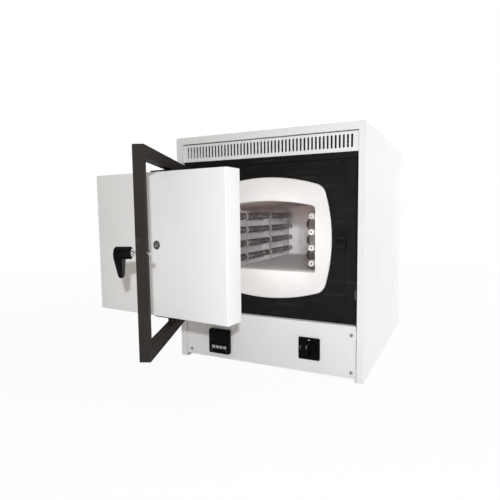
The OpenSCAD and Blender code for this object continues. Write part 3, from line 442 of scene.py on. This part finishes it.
bm = bmesh.new()
row_low, row_top = row_mid - row_h / 2, row_mid + row_h / 2
strip_top = high[2] - top_gap
for x0, x1, z0, z1 in ((low[0], -row_end, low[2], strip_top), (row_end, high[0], low[2], strip_top),
                       (-row_end, row_end, low[2], row_low), (-row_end, row_end, row_top, strip_top)):
    block_of(bm, x0, x1, z0, z1, front_y, front_y + sheet)
block_of(bm, low[0], high[0], low[2], low[2] + sheet, front_y + sheet, high[1])
grille = run_nodes("vent_strip", as_mesh(bm, "vent_strip"), punch,
                   {"Cell": cell_piece, "Slots": slots, "Pitch": pitch, "Finish": white_coat})
bpy.data.objects.remove(cell_piece)
fit(grille, white_coat, "furnace", "vent_grille")


# ---------------------------------------------------------------------------
# Front plate: a black-coated steel tray with a pressed field round the collar
# and a lip stepped forward under the grille. Heat has dulled it a little, and
# cleaning has left faint level wipe marks.

black_coat, tree, shader, at = finish("black_stove_paint", 0.5, 0.0, 0.16)
wipe = mottle(tree, at, 14, 5, (0.8, 1.0, 7.0))
dust = mottle(tree, at, 9, 3)
grain = mottle(tree, at, 1300, 2)
paint = tones(tree, dust, [(0.3, (0.0052, 0.0046, 0.0043)), (0.75, (0.0095, 0.0084, 0.0078))])
streaks = tones(tree, wipe, [(0.58, 0.0), (0.78, 1.0)])
paint = over(tree, ranged(tree, streaks, 0.0, 0.3), paint, (0.075, 0.068, 0.062))
lay_on(tree, shader, paint, ranged(tree, wipe, 0.42, 0.68))
relief(tree, shader, wipe, 0.00004, relief(tree, shader, grain, 0.00006))
refine("front_plate", "black_plate", 0.0006, black_coat, "furnace")

dull_steel, tree, shader, at = finish("dull_steel", 0.5, 0.7)
stain = mottle(tree, at, 180, 3)
lay_on(tree, shader, tones(tree, stain, [(0.3, (0.1, 0.095, 0.09)), (0.7, (0.17, 0.165, 0.16))]))
relief(tree, shader, mottle(tree, at, 1500), 0.00002)
dress("plate_clip", dull_steel)


# ---------------------------------------------------------------------------
# Control panel: coated sheet with two cut-outs, held by a screw in each corner.
# Its right edge stops short of the casing's side and leaves a dark seam.

panel = worked("control_panel", "lower_panel", 0.0005)
seam, edge_band = 2.0 * MM, 3 * MM
panel_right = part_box("control_panel")[1][0]
for vert in panel.data.vertices:
    if vert.co.x > panel_right - edge_band:
        vert.co.x -= seam
fit(panel, white_coat, "furnace", "control_panel")


# ---------------------------------------------------------------------------
# Screws: pan-head screws with a cross recess, all of one size. They are zinc
# plated on the control panel and the back, black round the plate's brackets and
# catch, and painted white in the casing's sides.

zinc, tree, shader, at = finish("zinc_plated_steel", 0.35, 0.9)
tint = mottle(tree, at, 260, 3)
lay_on(tree, shader, tones(tree, tint, [(0.3, (0.24, 0.24, 0.235)), (0.7, (0.44, 0.435, 0.42))]),
       ranged(tree, tint, 0.28, 0.46))
relief(tree, shader, mottle(tree, at, 2400), 0.00001)


def screw_head(radius, height, shank):
    """A pan head with a cross recess, its seat at 0 and its crown towards -Y."""
    bm = bmesh.new()
    around, recess, waist = 32, 0.62, 0.16
    rings = []
    for ratio, level in ((0.47, 0.55), (recess, 1.0), (0.8, 0.97), (0.93, 0.78), (1.0, 0.42), (1.0, 0.1),
                         (0.96, 0.0), (0.42, 0.0), (0.42, -shank / height)):
        ring = []
        for i in range(around):
            a = 2 * math.pi * i / around
            reach = radius * ratio
            if ratio <= recess:
                reach = radius * (waist + (ratio - waist) * abs(math.cos(2 * a)) ** 4)
            ring.append(bm.verts.new((reach * math.cos(a), -height * level, reach * math.sin(a))))
        rings.append(ring)
    skin(bm, rings)
    bm.faces.new(rings[0])
    bm.faces.new(list(reversed(rings[-1])))
    return add_object("screw", outward(bm, "screw"))


setter, start, end = node_tree("set_screws", [
    ("Screw", "NodeSocketObject"), ("Size", "NodeSocketFloat"), ("Seed", "NodeSocketInt"),
    ("Finish", "NodeSocketMaterial")])
info = add_node(setter, "GeometryNodeObjectInfo", {"As Instance": True})
chance = add_node(setter, "FunctionNodeRandomValue", {3: 6.28})
away = add_node(setter, "GeometryNodeInputNormal")
stand = add_node(setter, "FunctionNodeAlignRotationToVector", {"Rotation": (0, 0, 0)}, axis="Y")
turn = add_node(setter, "FunctionNodeRotateRotation", rotation_space="LOCAL")
spin = add_node(setter, "FunctionNodeAxisAngleToRotation", {"Axis": (0, 1, 0)})
back = add_node(setter, "ShaderNodeVectorMath", operation="SCALE")
back.inputs["Scale"].default_value = -1.0
spots = add_node(setter, "GeometryNodeMeshToPoints", mode="FACES")
copies = add_node(setter, "GeometryNodeInstanceOnPoints")
real = add_node(setter, "GeometryNodeRealizeInstances")
cover = add_node(setter, "GeometryNodeSetMaterial")
keep = add_node(setter, "GeometryNodeCaptureAttribute", domain="FACE")
keep.capture_items.new("VECTOR", "away")
plug(setter, (start.outputs["Geometry"], keep.inputs["Geometry"]),
     (away.outputs["Normal"], keep.inputs["away"]),
     (keep.outputs["Geometry"], spots.inputs["Mesh"]), (keep.outputs["away"], back.inputs[0]),
     (back.outputs[0], stand.inputs["Vector"]), (start.outputs["Seed"], chance.inputs["Seed"]),
     (chance.outputs[1], spin.inputs["Angle"]), (stand.outputs[0], turn.inputs["Rotation"]),
     (spin.outputs[0], turn.inputs["Rotate By"]), (turn.outputs[0], copies.inputs["Rotation"]),
     (spots.outputs["Points"], copies.inputs["Points"]), (start.outputs["Screw"], info.inputs["Object"]),
     (info.outputs["Geometry"], copies.inputs["Instance"]), (start.outputs["Size"], copies.inputs["Scale"]),
     (copies.outputs["Instances"], real.inputs[0]), (real.outputs[0], cover.inputs["Geometry"]),
     (start.outputs["Finish"], cover.inputs["Material"]), (cover.outputs["Geometry"], end.inputs["Geometry"]))


def screw_spots(seats):
    """A mesh of tiny faces, one at each screw's seat, facing the way the screw looks."""
    bm = bmesh.new()
    half_face = 0.5 * MM
    for place, facing in seats:
        a = facing.orthogonal().normalized() * half_face
        b = facing.cross(a)
        face = bm.faces.new([bm.verts.new(place + s * a + t * b)
                             for s, t in ((-1, -1), (1, -1), (1, 1), (-1, 1))])
        face.normal_update()
        if face.normal.dot(facing) < 0:
            face.normal_flip()
    return as_mesh(bm, "spots")


def islands(node):
    """The boxes of a CAD piece's separate solids, from its own mesh."""
    bm = bmesh.new()
    bm.from_mesh(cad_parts[node].data)
    bmesh.ops.remove_doubles(bm, verts=bm.verts, dist=same_place)
    left = set(bm.verts)
    boxes = []
    for first_vert in bm.verts:  # in the mesh's own order, so that every run lists them alike
        if first_vert not in left:
            continue
        left.discard(first_vert)
        queue = [first_vert]
        group = [first_vert]
        while queue:
            for edge in queue.pop().link_edges:
                for vert in edge.verts:
                    if vert in left:
                        left.discard(vert)
                        queue.append(vert)
                        group.append(vert)
        boxes.append((Vector([min(v.co[i] for v in group) for i in range(3)]),
                      Vector([max(v.co[i] for v in group) for i in range(3)])))
    bm.free()
    return boxes


head_r, head_h, shank = 3.5 * MM, 1.8 * MM, 2.5 * MM
for node, facing, seed, coat, slot in (
        ("control_screws", (0, -1, 0), 3, zinc, "zinc_plated_steel"),
        ("plate_screws", (0, -1, 0), 8, black_coat, "black_paint"),
        ("rear_screws", (0, 1, 0), 5, zinc, "zinc_plated_steel"),
        ("side_screws", (1, 0, 0), 2, white_coat, "white_powder_coat")):
    seats = []
    for lo, hi in islands(node):
        seat = (lo + hi) / 2
        way = Vector(facing)
        if node == "side_screws" and seat.x < 0:
            way = -way
        axis = max(range(3), key=lambda i: abs(way[i]))
        seat[axis] = (hi[axis] - head_h) if way[axis] > 0 else (lo[axis] + head_h)
        seats.append((seat, way))
    sample = screw_head(head_r, head_h, shank)
    piece = run_nodes(node + "_set", screw_spots(seats), setter,
                      {"Screw": sample, "Size": 1.0, "Seed": seed, "Finish": coat})
    bpy.data.objects.remove(sample)
    fit(piece, coat, "furnace", node)


# ---------------------------------------------------------------------------
# Collar: a ring of vacuum-formed ceramic fibre round the chamber's mouth. Its
# four sides bulge, its edges are rubbed round, and the door's pad meets it.

fibre, tree, shader, at = finish("ceramic_fibre", 0.95, 0.0, 0.1)
patch = mottle(tree, at, 11, 4)
wool = mottle(tree, at, 420, 4)
nap = mottle(tree, at, 160, 5, (1.0, 1.0, 5.0))
board = tones(tree, patch, [(0.28, (0.86, 0.825, 0.805)), (0.7, (0.91, 0.888, 0.872))])
board = over(tree, ranged(tree, wool, 0.0, 0.14), board, (0.68, 0.64, 0.61))
lay_on(tree, shader, board)
relief(tree, shader, nap, 0.00022, relief(tree, shader, wool, 0.00025))

half_depth = 250.0  # mm from the casing's front edge, where y is 0 below, to the frame's origin
collar_mid = 286.5
mouth_half_w, mouth_floor = 113.0, 217.0


def arc(centre, r, a0, a1, n, ends=True):
    """Points of an arc in degrees, with or without its two ends."""
    steps = range(n + 1) if ends else range(1, n)
    return [(centre[0] + r * math.cos(math.radians(a0 + (a1 - a0) * i / n)),
             centre[1] + r * math.sin(math.radians(a0 + (a1 - a0) * i / n))) for i in steps]


def collar_points(grow):
    """The collar's outline in mm: four bulged edges joined by tangent corner rounds."""
    half_w, half_h, bulge, side_r, corner = 149.0, 131.5, 400.0, 345.0, 28.0
    bz, bx = half_h - bulge, half_w - side_r
    rz, rx = bulge - corner, side_r - corner
    slope = bz / bx
    shift = (rz * rz - rx * rx - bz * bz + bx * bx) / (2 * bx)
    half_b = shift * slope - bz
    root = math.sqrt(half_b ** 2 - (1 + slope ** 2) * (shift ** 2 + bz ** 2 - rz ** 2))
    cz = (root - half_b) / (1 + slope ** 2)
    cx = shift + slope * cz
    side_a = math.degrees(math.atan2(cz, cx - bx))
    top_a = math.degrees(math.atan2(cz - bz, cx))
    quarter = (arc((bx, 0), side_r + grow, 0, side_a, 16, False)
               + arc((cx, cz), corner + grow, side_a, top_a, 14)
               + arc((0, bz), bulge + grow, top_a, 90, 20, False))
    right = [(x, -z) for x, z in reversed(quarter)] + [(half_w + grow, 0)] + quarter
    left = [(-x, z) for x, z in reversed(right)]
    return [(x, z + collar_mid) for x, z in right + [(0, half_h + grow)] + left + [(0, -half_h - grow)]]


def arch_points(grow, floor_z):
    """The arched mouth's outline in mm, standing on its floor."""
    half_w, spring, crown, corner = mouth_half_w, 355.0, 367.5, 8.0
    rise = crown - spring
    big = (half_w ** 2 + rise ** 2) / (2 * rise)
    bz = crown - big
    cx = half_w - corner
    cz = bz + math.sqrt((big - corner) ** 2 - cx ** 2)
    a = math.degrees(math.atan2(cz - bz, cx))
    return ([(-half_w - grow, floor_z), (half_w + grow, floor_z)]
            + arc((cx, cz), corner + grow, 0, a, 6)
            + arc((0, bz), big + grow, a, 180 - a, 24, False)
            + arc((-cx, cz), corner + grow, 180 - a, 180, 6))


def along_ray(points, centre, angle):
    """Where a ray from the centre leaves an outline."""
    dx, dz = math.cos(angle), math.sin(angle)
    best = None
    for (x0, z0), (x1, z1) in zip(points, points[1:] + points[:1]):
        x0, z0, x1, z1 = x0 - centre[0], z0 - centre[1], x1 - centre[0], z1 - centre[1]
        ex, ez = x1 - x0, z1 - z0
        det = ex * dz - ez * dx
        if abs(det) < 1e-12:
            continue
        t = (ex * -z0 + ez * x0) / -det
        u = (dx * -z0 + dz * x0) / -det
        if t > 0 and -1e-7 <= u <= 1 + 1e-7 and (best is None or t > best):
            best = t
    return (centre[0] + dx * best, centre[1] + dz * best)


def ring_loft(name, rings, centre, closed=True, corners=()):
    """Skins rings of (outline, y) in mm by rays from one centre, closed on itself or capped."""
    around = 288
    to_corners = [math.atan2(z - centre[1], x - centre[0]) % (2 * math.pi) for x, z in corners]
    angles = sorted({round(a, 6) for a in [2 * math.pi * i / around for i in range(around)] + to_corners})
    bm = bmesh.new()
    loops = []
    for points, y in rings:
        loops.append([bm.verts.new((x * MM, (y - half_depth) * MM, z * MM))
                      for x, z in (along_ray(points, centre, a) for a in angles)])
    if closed:
        skin(bm, loops + [loops[0]])
    else:
        skin(bm, loops)
        bm.faces.new(loops[0])
        bm.faces.new(list(reversed(loops[-1])))
    return settle(add_object(name, outward(bm, name)), 32)


def lip(outline, y, r, steps=5, inward=True):
    """Rings that round an edge: from the wall at y + r to the face at y."""
    made = []
    for i in range(steps + 1):
        a = math.pi / 2 * i / steps
        drawn_in = r * (1 - math.cos(a))
        made.append((outline(-drawn_in if inward else drawn_in), y + r * (1 - math.sin(a))))
    return made


face_y, body_y, back_y = 15.5, 18.6, 45.5
body_grow, body_edge = 8, 0.6
mouth = lambda g: arch_points(g, mouth_floor - g)
rings = [(collar_points(body_grow), back_y), (collar_points(body_grow), body_y + body_edge),
         (collar_points(body_grow - body_edge), body_y), (collar_points(0), body_y)]
rings += lip(collar_points, face_y, 3.0)
rings += list(reversed(lip(mouth, face_y, 1.8, 4, False)))
rings += [(mouth(0), back_y)]
mouth_corners = [(-mouth_half_w, mouth_floor), (mouth_half_w, mouth_floor)]
collar = ring_loft("fibre_collar", rings, (0, collar_mid), corners=mouth_corners)
fit(collar, fibre, "furnace", "chamber_collar")
inside.objects.link(collar)


# ---------------------------------------------------------------------------
# Muffle: the fibre chamber behind the collar, closed at the back, with its
# arched roof painted a warmer brown as painted shade. Wool and a zinc-coated
# shell lie round it.

fibre_roof_shade_paint, tree, shader, at = finish("fibre_painted_roof_shade", 0.97, 0.0, 0.1)
patch = mottle(tree, at, 16, 4)
wool = mottle(tree, at, 380, 4)
apart = add_node(tree, "ShaderNodeSeparateXYZ")
# Painted shade: from 0.325 m up to the roof the fibre is mixed towards a warmer brown.
height = add_node(tree, "ShaderNodeMapRange", {"From Min": 0.325, "From Max": 0.37})
plug(tree, (at, apart.inputs[0]), (apart.outputs["Z"], height.inputs["Value"]))
unshaded_wall_tone = tones(tree, patch, [(0.3, (0.81, 0.785, 0.79)), (0.7, (0.88, 0.86, 0.865))])
roof_shade_tone = over(tree, ranged(tree, height.outputs[0], 0.0, 0.7), unshaded_wall_tone, (0.82, 0.62, 0.5))
lay_on(tree, shader, over(tree, ranged(tree, wool, 0.0, 0.12), roof_shade_tone, (0.42, 0.38, 0.37)))
relief(tree, shader, mottle(tree, at, 90, 5), 0.0006, relief(tree, shader, wool, 0.0003))

low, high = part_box("muffle")
left_x, right_x, base_z, top_z = low[0] / MM, high[0] / MM, low[2] / MM, high[2] / MM
block = [(left_x, base_z), (right_x, base_z), (right_x, top_z), (left_x, top_z)]
front, rear = low[1] / MM + half_depth, high[1] / MM + half_depth
room_floor, room_back, room_grow, room_mid = 211.0, 410.0, 0.5, 286
room = lambda g: arch_points(room_grow + g, room_floor - g)
rings = [(block, rear), (block, front), (room(0), front), (room(0), room_back - 7),
         (room(-0.8), room_back - 3.5), (room(-2.6), room_back - 1), (room(-6), room_back)]
room_half_w = mouth_half_w + room_grow
muffle = ring_loft("fibre_chamber", rings, (0, room_mid), closed=False,
                   corners=block + [(-room_half_w, room_floor), (room_half_w, room_floor)])
fit(muffle, fibre_roof_shade_paint, "furnace", "muffle")
inside.objects.link(muffle)
dress("insulation_jacket", fibre)


# ---------------------------------------------------------------------------
# Heaters: four ceramic tubes along each side wall, each wound with resistance
# wire that has burnt to a dark oxide, and held off the wall by three combs. Wire
# links join the rods at the front; their darker brown is partly painted shade.

porcelain, tree, shader, at = finish("porcelain", 0.4)
cloud = mottle(tree, at, 90, 3)
lay_on(tree, shader, tones(tree, cloud, [(0.3, (0.78, 0.76, 0.72)), (0.7, (0.87, 0.855, 0.82))]),
       ranged(tree, cloud, 0.34, 0.52))
relief(tree, shader, mottle(tree, at, 1500), 0.00003)

fired_clay, tree, shader, at = finish("fired_clay", 0.75)
bands = mottle(tree, at, 70, 4)
lay_on(tree, shader, tones(tree, bands, [(0.3, (0.42, 0.395, 0.39)), (0.7, (0.56, 0.53, 0.53))]))
relief(tree, shader, mottle(tree, at, 900), 0.00006)


def lathed(name, profile, place):
    """A ring lathed from a closed profile of (radius, distance) in mm, along Y at a place in mm."""
    bm = bmesh.new()
    around = 32
    along_y = Matrix.Rotation(math.radians(-90), 4, "X")
    loops = []
    for r, d in profile:
        angles = [2 * math.pi * i / around for i in range(around)]
        loops.append([bm.verts.new(along_y @ Vector((r * math.cos(a), r * math.sin(a), d))) for a in angles])
    skin(bm, loops + [loops[0]])
    bm.transform(Matrix.Translation(Vector(place) * MM) @ Matrix.Scale(MM, 4))
    return add_object(name, outward(bm, name))


def gather(name, pieces, angle=35):
    """Joins pieces into one mesh at the origin."""
    bm = bmesh.new()
    for piece in pieces:
        bm.from_mesh(piece.data)
        bpy.data.objects.remove(piece)
    return settle(add_object(name, as_mesh(bm, name)), angle)


def strands(name, paths, radius):
    """Round wires along paths in mm, as one mesh."""
    curve = bpy.data.curves.new(name, "CURVE")
    curve.dimensions = "3D"
    curve.bevel_depth = radius * MM
    curve.bevel_resolution = 1
    curve.use_fill_caps = True
    for path in paths:
        spline = curve.splines.new("POLY")
        spline.points.add(len(path) - 1)
        for point, place in zip(spline.points, path):
            point.co = (*(Vector(place) * MM), 1)
    holder = add_object(name, curve)
    bpy.context.view_layer.update()
    mesh = bpy.data.meshes.new_from_object(holder.evaluated_get(bpy.context.evaluated_depsgraph_get()))
    bpy.data.objects.remove(holder)
    return add_object(name, mesh)


rod_zs = [233.5 + 33.5 * i for i in range(4)]
rod_x = 100
tube_r, bore_r, tube_front, tube_rear = 6.4, 2.3, 30.0, 408.0
coil_front, coil_rear, coil_r, wire_r, turns = 52.0, 407.0, 7.35, 0.75, 118.0
link_count, link_r, link_x, link_y, link_sag = 8, 0.9, 94.7, -212.4, 1.9
link_clear, coil_cover = 5.0, 0.5

winder, start, end = node_tree("wound_wire", [
    ("Turns", "NodeSocketFloat"), ("Length", "NodeSocketFloat"), ("Coil radius", "NodeSocketFloat"),
    ("Wire radius", "NodeSocketFloat"), ("Finish", "NodeSocketMaterial")])
spiral = add_node(winder, "GeometryNodeCurveSpiral", {"Resolution": 16})
section = add_node(winder, "GeometryNodeCurvePrimitiveCircle", {"Resolution": 6})
drawn = add_node(winder, "GeometryNodeCurveToMesh", {"Fill Caps": True})
lay = add_node(winder, "GeometryNodeTransform", {"Rotation": (math.radians(-90), 0, 0)})
copies = add_node(winder, "GeometryNodeInstanceOnPoints")
real = add_node(winder, "GeometryNodeRealizeInstances")
cover = add_node(winder, "GeometryNodeSetMaterial")
plug(winder, (start.outputs["Turns"], spiral.inputs["Rotations"]),
     (start.outputs["Coil radius"], spiral.inputs["Start Radius"]),
     (start.outputs["Coil radius"], spiral.inputs["End Radius"]),
     (start.outputs["Length"], spiral.inputs["Height"]),
     (start.outputs["Wire radius"], section.inputs["Radius"]),
     (spiral.outputs["Curve"], drawn.inputs["Curve"]),
     (section.outputs["Curve"], drawn.inputs["Profile Curve"]),
     (drawn.outputs["Mesh"], lay.inputs["Geometry"]), (start.outputs["Geometry"], copies.inputs["Points"]),
     (lay.outputs["Geometry"], copies.inputs["Instance"]), (copies.outputs["Instances"], real.inputs[0]),
     (real.outputs[0], cover.inputs["Geometry"]), (start.outputs["Finish"], cover.inputs["Material"]),
     (cover.outputs["Geometry"], end.inputs["Geometry"]))

oxide_and_shade_wire, tree, shader, at = finish("oxidised_wire_shaded_front", 0.4, 0.9)
flake = mottle(tree, at, 240, 4)
oxide = tones(tree, flake, [(0.3, (0.2, 0.178, 0.172)), (0.7, (0.42, 0.38, 0.37))])
# Painted shade: the wire in front of the coils, mostly the links, is a darker brown than the oxide, partly
# the burnt wire and partly painted shade behind the mouth.
apart = add_node(tree, "ShaderNodeSeparateXYZ")
behind_links = add_node(tree, "ShaderNodeMapRange", {"From Min": -0.1992, "From Max": -0.1985})
plug(tree, (at, apart.inputs[0]), (apart.outputs["Y"], behind_links.inputs["Value"]))
lay_on(tree, shader, over(tree, behind_links.outputs[0], (0.1, 0.067, 0.05), oxide),
       ranged(tree, flake, 0.2, 0.34))
relief(tree, shader, mottle(tree, at, 2000), 0.00004)

for label, s in (("left", -1), ("right", 1)):
    tubes = []
    for z in rod_zs:
        profile = [(bore_r + 0.5, tube_front), (tube_r - 0.8, tube_front), (tube_r - 0.2, tube_front + 0.3),
                   (tube_r, tube_front + 1.0), (tube_r, tube_rear - 0.8), (tube_r - 0.8, tube_rear),
                   (bore_r, tube_rear), (bore_r, tube_front + 0.5)]
        tubes.append(lathed("tube", profile, (s * rod_x, -half_depth, z)))
    tubes = gather("heater_tube_set_" + label, tubes)
    fit(tubes, porcelain, "furnace", "heater_tubes_" + label)
    starts = bpy.data.meshes.new("starts")
    starts.from_pydata([(s * rod_x * MM, (coil_front - half_depth) * MM, z * MM) for z in rod_zs], [], [])
    coils = run_nodes("wire_coils_" + label, starts, winder,
                      {"Turns": turns, "Length": (coil_rear - coil_front) * MM, "Coil radius": coil_r * MM,
                       "Wire radius": wire_r * MM, "Finish": oxide_and_shade_wire}, 60)
    # Wire links between neighbouring rods at the front; their dark brown is partly painted shade.
    wires = []
    for low_z, high_z in zip(rod_zs, rod_zs[1:]):
        mid, half = (low_z + high_z) / 2, (high_z - low_z) / 2 - link_clear
        end_y = coil_front - half_depth + coil_cover
        bow = [math.radians(a) for a in range(-90, 91, 15)]
        for k in range(link_count):
            sag = link_sag + k
            loop = [(s * (link_x - sag * math.cos(a)), link_y + k, mid + half * math.sin(a)) for a in bow]
            wires.append([(s * link_x, end_y, mid - half)] + loop + [(s * link_x, end_y, mid + half)])
    coils = gather("wire_coils_" + label, [coils, strands("links", wires, link_r)], 60)
    fit(coils, oxide_and_shade_wire, "furnace", "heater_coils_" + label)
    combs = refine("combs_" + label, "tube_combs_" + label, 0.0004, fired_clay, "furnace")
    for piece in (tubes, coils, combs):
        inside.objects.link(piece)


# ---------------------------------------------------------------------------
# Wiring behind the chamber: porcelain ferrules and a terminal block, leads of
# the heaters' own wire, and a thermocouple in a heat-proof steel sheath.

for node in ("lead_ferrules", "terminal_block"):
    dress(node, porcelain)
dress("heater_leads", oxide_and_shade_wire)

probe_steel, tree, shader, at = finish("heat_proof_steel", 0.45, 0.8)
straw = mottle(tree, at, 70, 3)
lay_on(tree, shader, tones(tree, straw, [(0.3, (0.2, 0.17, 0.15)), (0.7, (0.4, 0.36, 0.32))]))
relief(tree, shader, mottle(tree, at, 1800), 0.00002)
dress("thermocouple", probe_steel)


# ---------------------------------------------------------------------------
# Controller: a panel-mounted temperature controller in a black moulded case,
# with a dark window over its display, a row of four pale rubber keys and a few
# printed marks. The relay and the cable gland share its moulding.

black_plastic, tree, shader, at = finish("black_moulding", 0.4, 0.0, 0.07)
grain = mottle(tree, at, 1700, 2)
sheen = mottle(tree, at, 35, 3)
lay_on(tree, shader, tones(tree, sheen, [(0.3, (0.0022, 0.0019, 0.0019)), (0.75, (0.004, 0.0036, 0.0036))]),
       ranged(tree, grain, 0.3, 0.5))
relief(tree, shader, grain, 0.00004)
refine("controller", "controller_case", 0.0006, black_plastic, "furnace")
for node in ("power_relay", "cable_gland"):
    dress(node, black_plastic)

window, tree, shader, at = finish("display_window", 0.12, 0.0, 0.12)
haze = mottle(tree, at, 60, 3)
lay_on(tree, shader, tones(tree, haze, [(0.3, (0.0014, 0.0013, 0.0013)), (0.8, (0.0024, 0.0022, 0.0022))]),
       ranged(tree, haze, 0.08, 0.2))
dress("controller_window", window)

key_rubber, tree, shader, at = finish("pale_key", 0.6)
wear = mottle(tree, at, 600, 3)
lay_on(tree, shader, tones(tree, wear, [(0.3, 0.3), (0.7, 0.42)]))
relief(tree, shader, mottle(tree, at, 2500), 0.00003)
for index in range(1, 5):
    node = "key_%d" % index
    refine(node, "rubber_" + node, 0.0008, key_rubber, node, 3)

printed, tree, shader, at = finish("pale_print", 0.6)
ink = mottle(tree, at, 900, 3)
lay_on(tree, shader, tones(tree, ink, [(0.35, 0.3), (0.6, 0.62)]))


def marks(name, node, bars, body):
    """Thin printed bars on a piece's front, each (x, z, width, height) in mm from its middle."""
    lo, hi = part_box(node)
    bm = bmesh.new()
    proud, sunk = 0.06 * MM, 0.2 * MM
    for x, z, wide, tall in bars:
        x, z = (lo[0] + hi[0]) / 2 + x * MM, (lo[2] + hi[2]) / 2 + z * MM
        wide, tall = wide * MM, tall * MM
        block_of(bm, x - wide / 2, x + wide / 2, z - tall / 2, z + tall / 2, lo[1] - proud, lo[1] + sunk)
    piece = add_object(name, as_mesh(bm, name))
    piece.data.materials.append(printed)
    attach(piece, body)


marks("controller_marks", "controller",
      [(-19.5, -21.4, 3.4, 0.7), (19.0, -21.4, 3.4, 0.7), (-19.0, 4.0, 1.2, 0.6)], "furnace")


# ---------------------------------------------------------------------------
# Power switch: a square black plate with printed marks and a turning knob. The
# knob is a moulded skirt with a finger bar, and a white line shows its position.

refine("switch_base", "switch_plate", 0.0006, black_plastic, "furnace")
refine("switch_knob", "turning_knob", 0.0006, black_plastic, "knob")
marks("switch_marks", "switch_base",
      [(0, 18.6, 4.4, 1.7), (-19.2, 2.0, 1.0, 3.0), (-19.2, -3.0, 1.0, 1.0)], "furnace")
marks("knob_line", "switch_knob", [(0, 8.0, 0.8, 7.0)], "knob")


# ---------------------------------------------------------------------------
# Hinge and catch: folded brackets and turned pins in black at the left edge of
# the plate, and at the right the bridge that holds the latch's T-head.

refine("hinge_brackets", "hinge_bracket_pair", 0.0005, black_coat, "furnace")
refine("hinge_pins", "hinge_pin_pair", 0.0005, black_coat, "furnace")
refine("latch_catch", "catch_bridge", 0.0004, black_coat, "furnace")


# ---------------------------------------------------------------------------
# Yoke: black-coated steel bar welded to a C. It swings on the hinge pins at its
# left ends and carries the door between its arms on two pivot pins with bushes.

yoke_coat, tree, shader, at = finish("yoke_paint", 0.5, 0.0, 0.02)
shade = mottle(tree, at, 12, 4)
grain = mottle(tree, at, 1100, 3)
rubbed = tones(tree, mottle(tree, at, 70, 5), [(0.62, 0.0), (0.72, 1.0)])
paint = tones(tree, shade, [(0.3, (0.0255, 0.0218, 0.02)), (0.7, (0.0345, 0.0302, 0.028))])
lay_on(tree, shader, over(tree, ranged(tree, rubbed, 0.0, 0.2), paint, (0.09, 0.085, 0.08)),
       ranged(tree, grain, 0.38, 0.56))
relief(tree, shader, grain, 0.00007)
refine("yoke_frame", "swing_yoke", 0.0011, yoke_coat, "yoke", 3)
refine("pivot_bushes", "pivot_bush_pair", 0.0004, yoke_coat, "yoke")
refine("pivot_pins", "pivot_pin_pair", 0.0004, zinc, "yoke")


# ---------------------------------------------------------------------------
# Door: a folded white box filled with fibre wool, with a bulged pad of fibre
# board at its back that meets the collar, and tabs above and below for the pins.

refine("door_shell", "door_box", 0.0005, white_coat, "door")
refine("door_tabs", "door_tab_pair", 0.0005, yoke_coat, "door")
dress("door_filling", fibre)
dress("door_back_frame", galvanised)
dress("door_pad", fibre)
dress("door_bolt", zinc)


# ---------------------------------------------------------------------------
# Clamping lever: a black moulded lever with a chromed insert on a shaft that
# runs through the upright and ends in the T-head.

chrome, tree, shader, at = finish("bright_chrome", 0.14, 1.0)
film = mottle(tree, at, 300, 3)
lay_on(tree, shader, tones(tree, film, [(0.3, (0.6, 0.6, 0.61)), (0.7, (0.78, 0.78, 0.78))]),
       ranged(tree, film, 0.1, 0.24))
refine("lever_grip", "clamping_lever", 0.0008, black_plastic, "lever")
dress("lever_insert", chrome)
dress("latch_shaft", chrome)
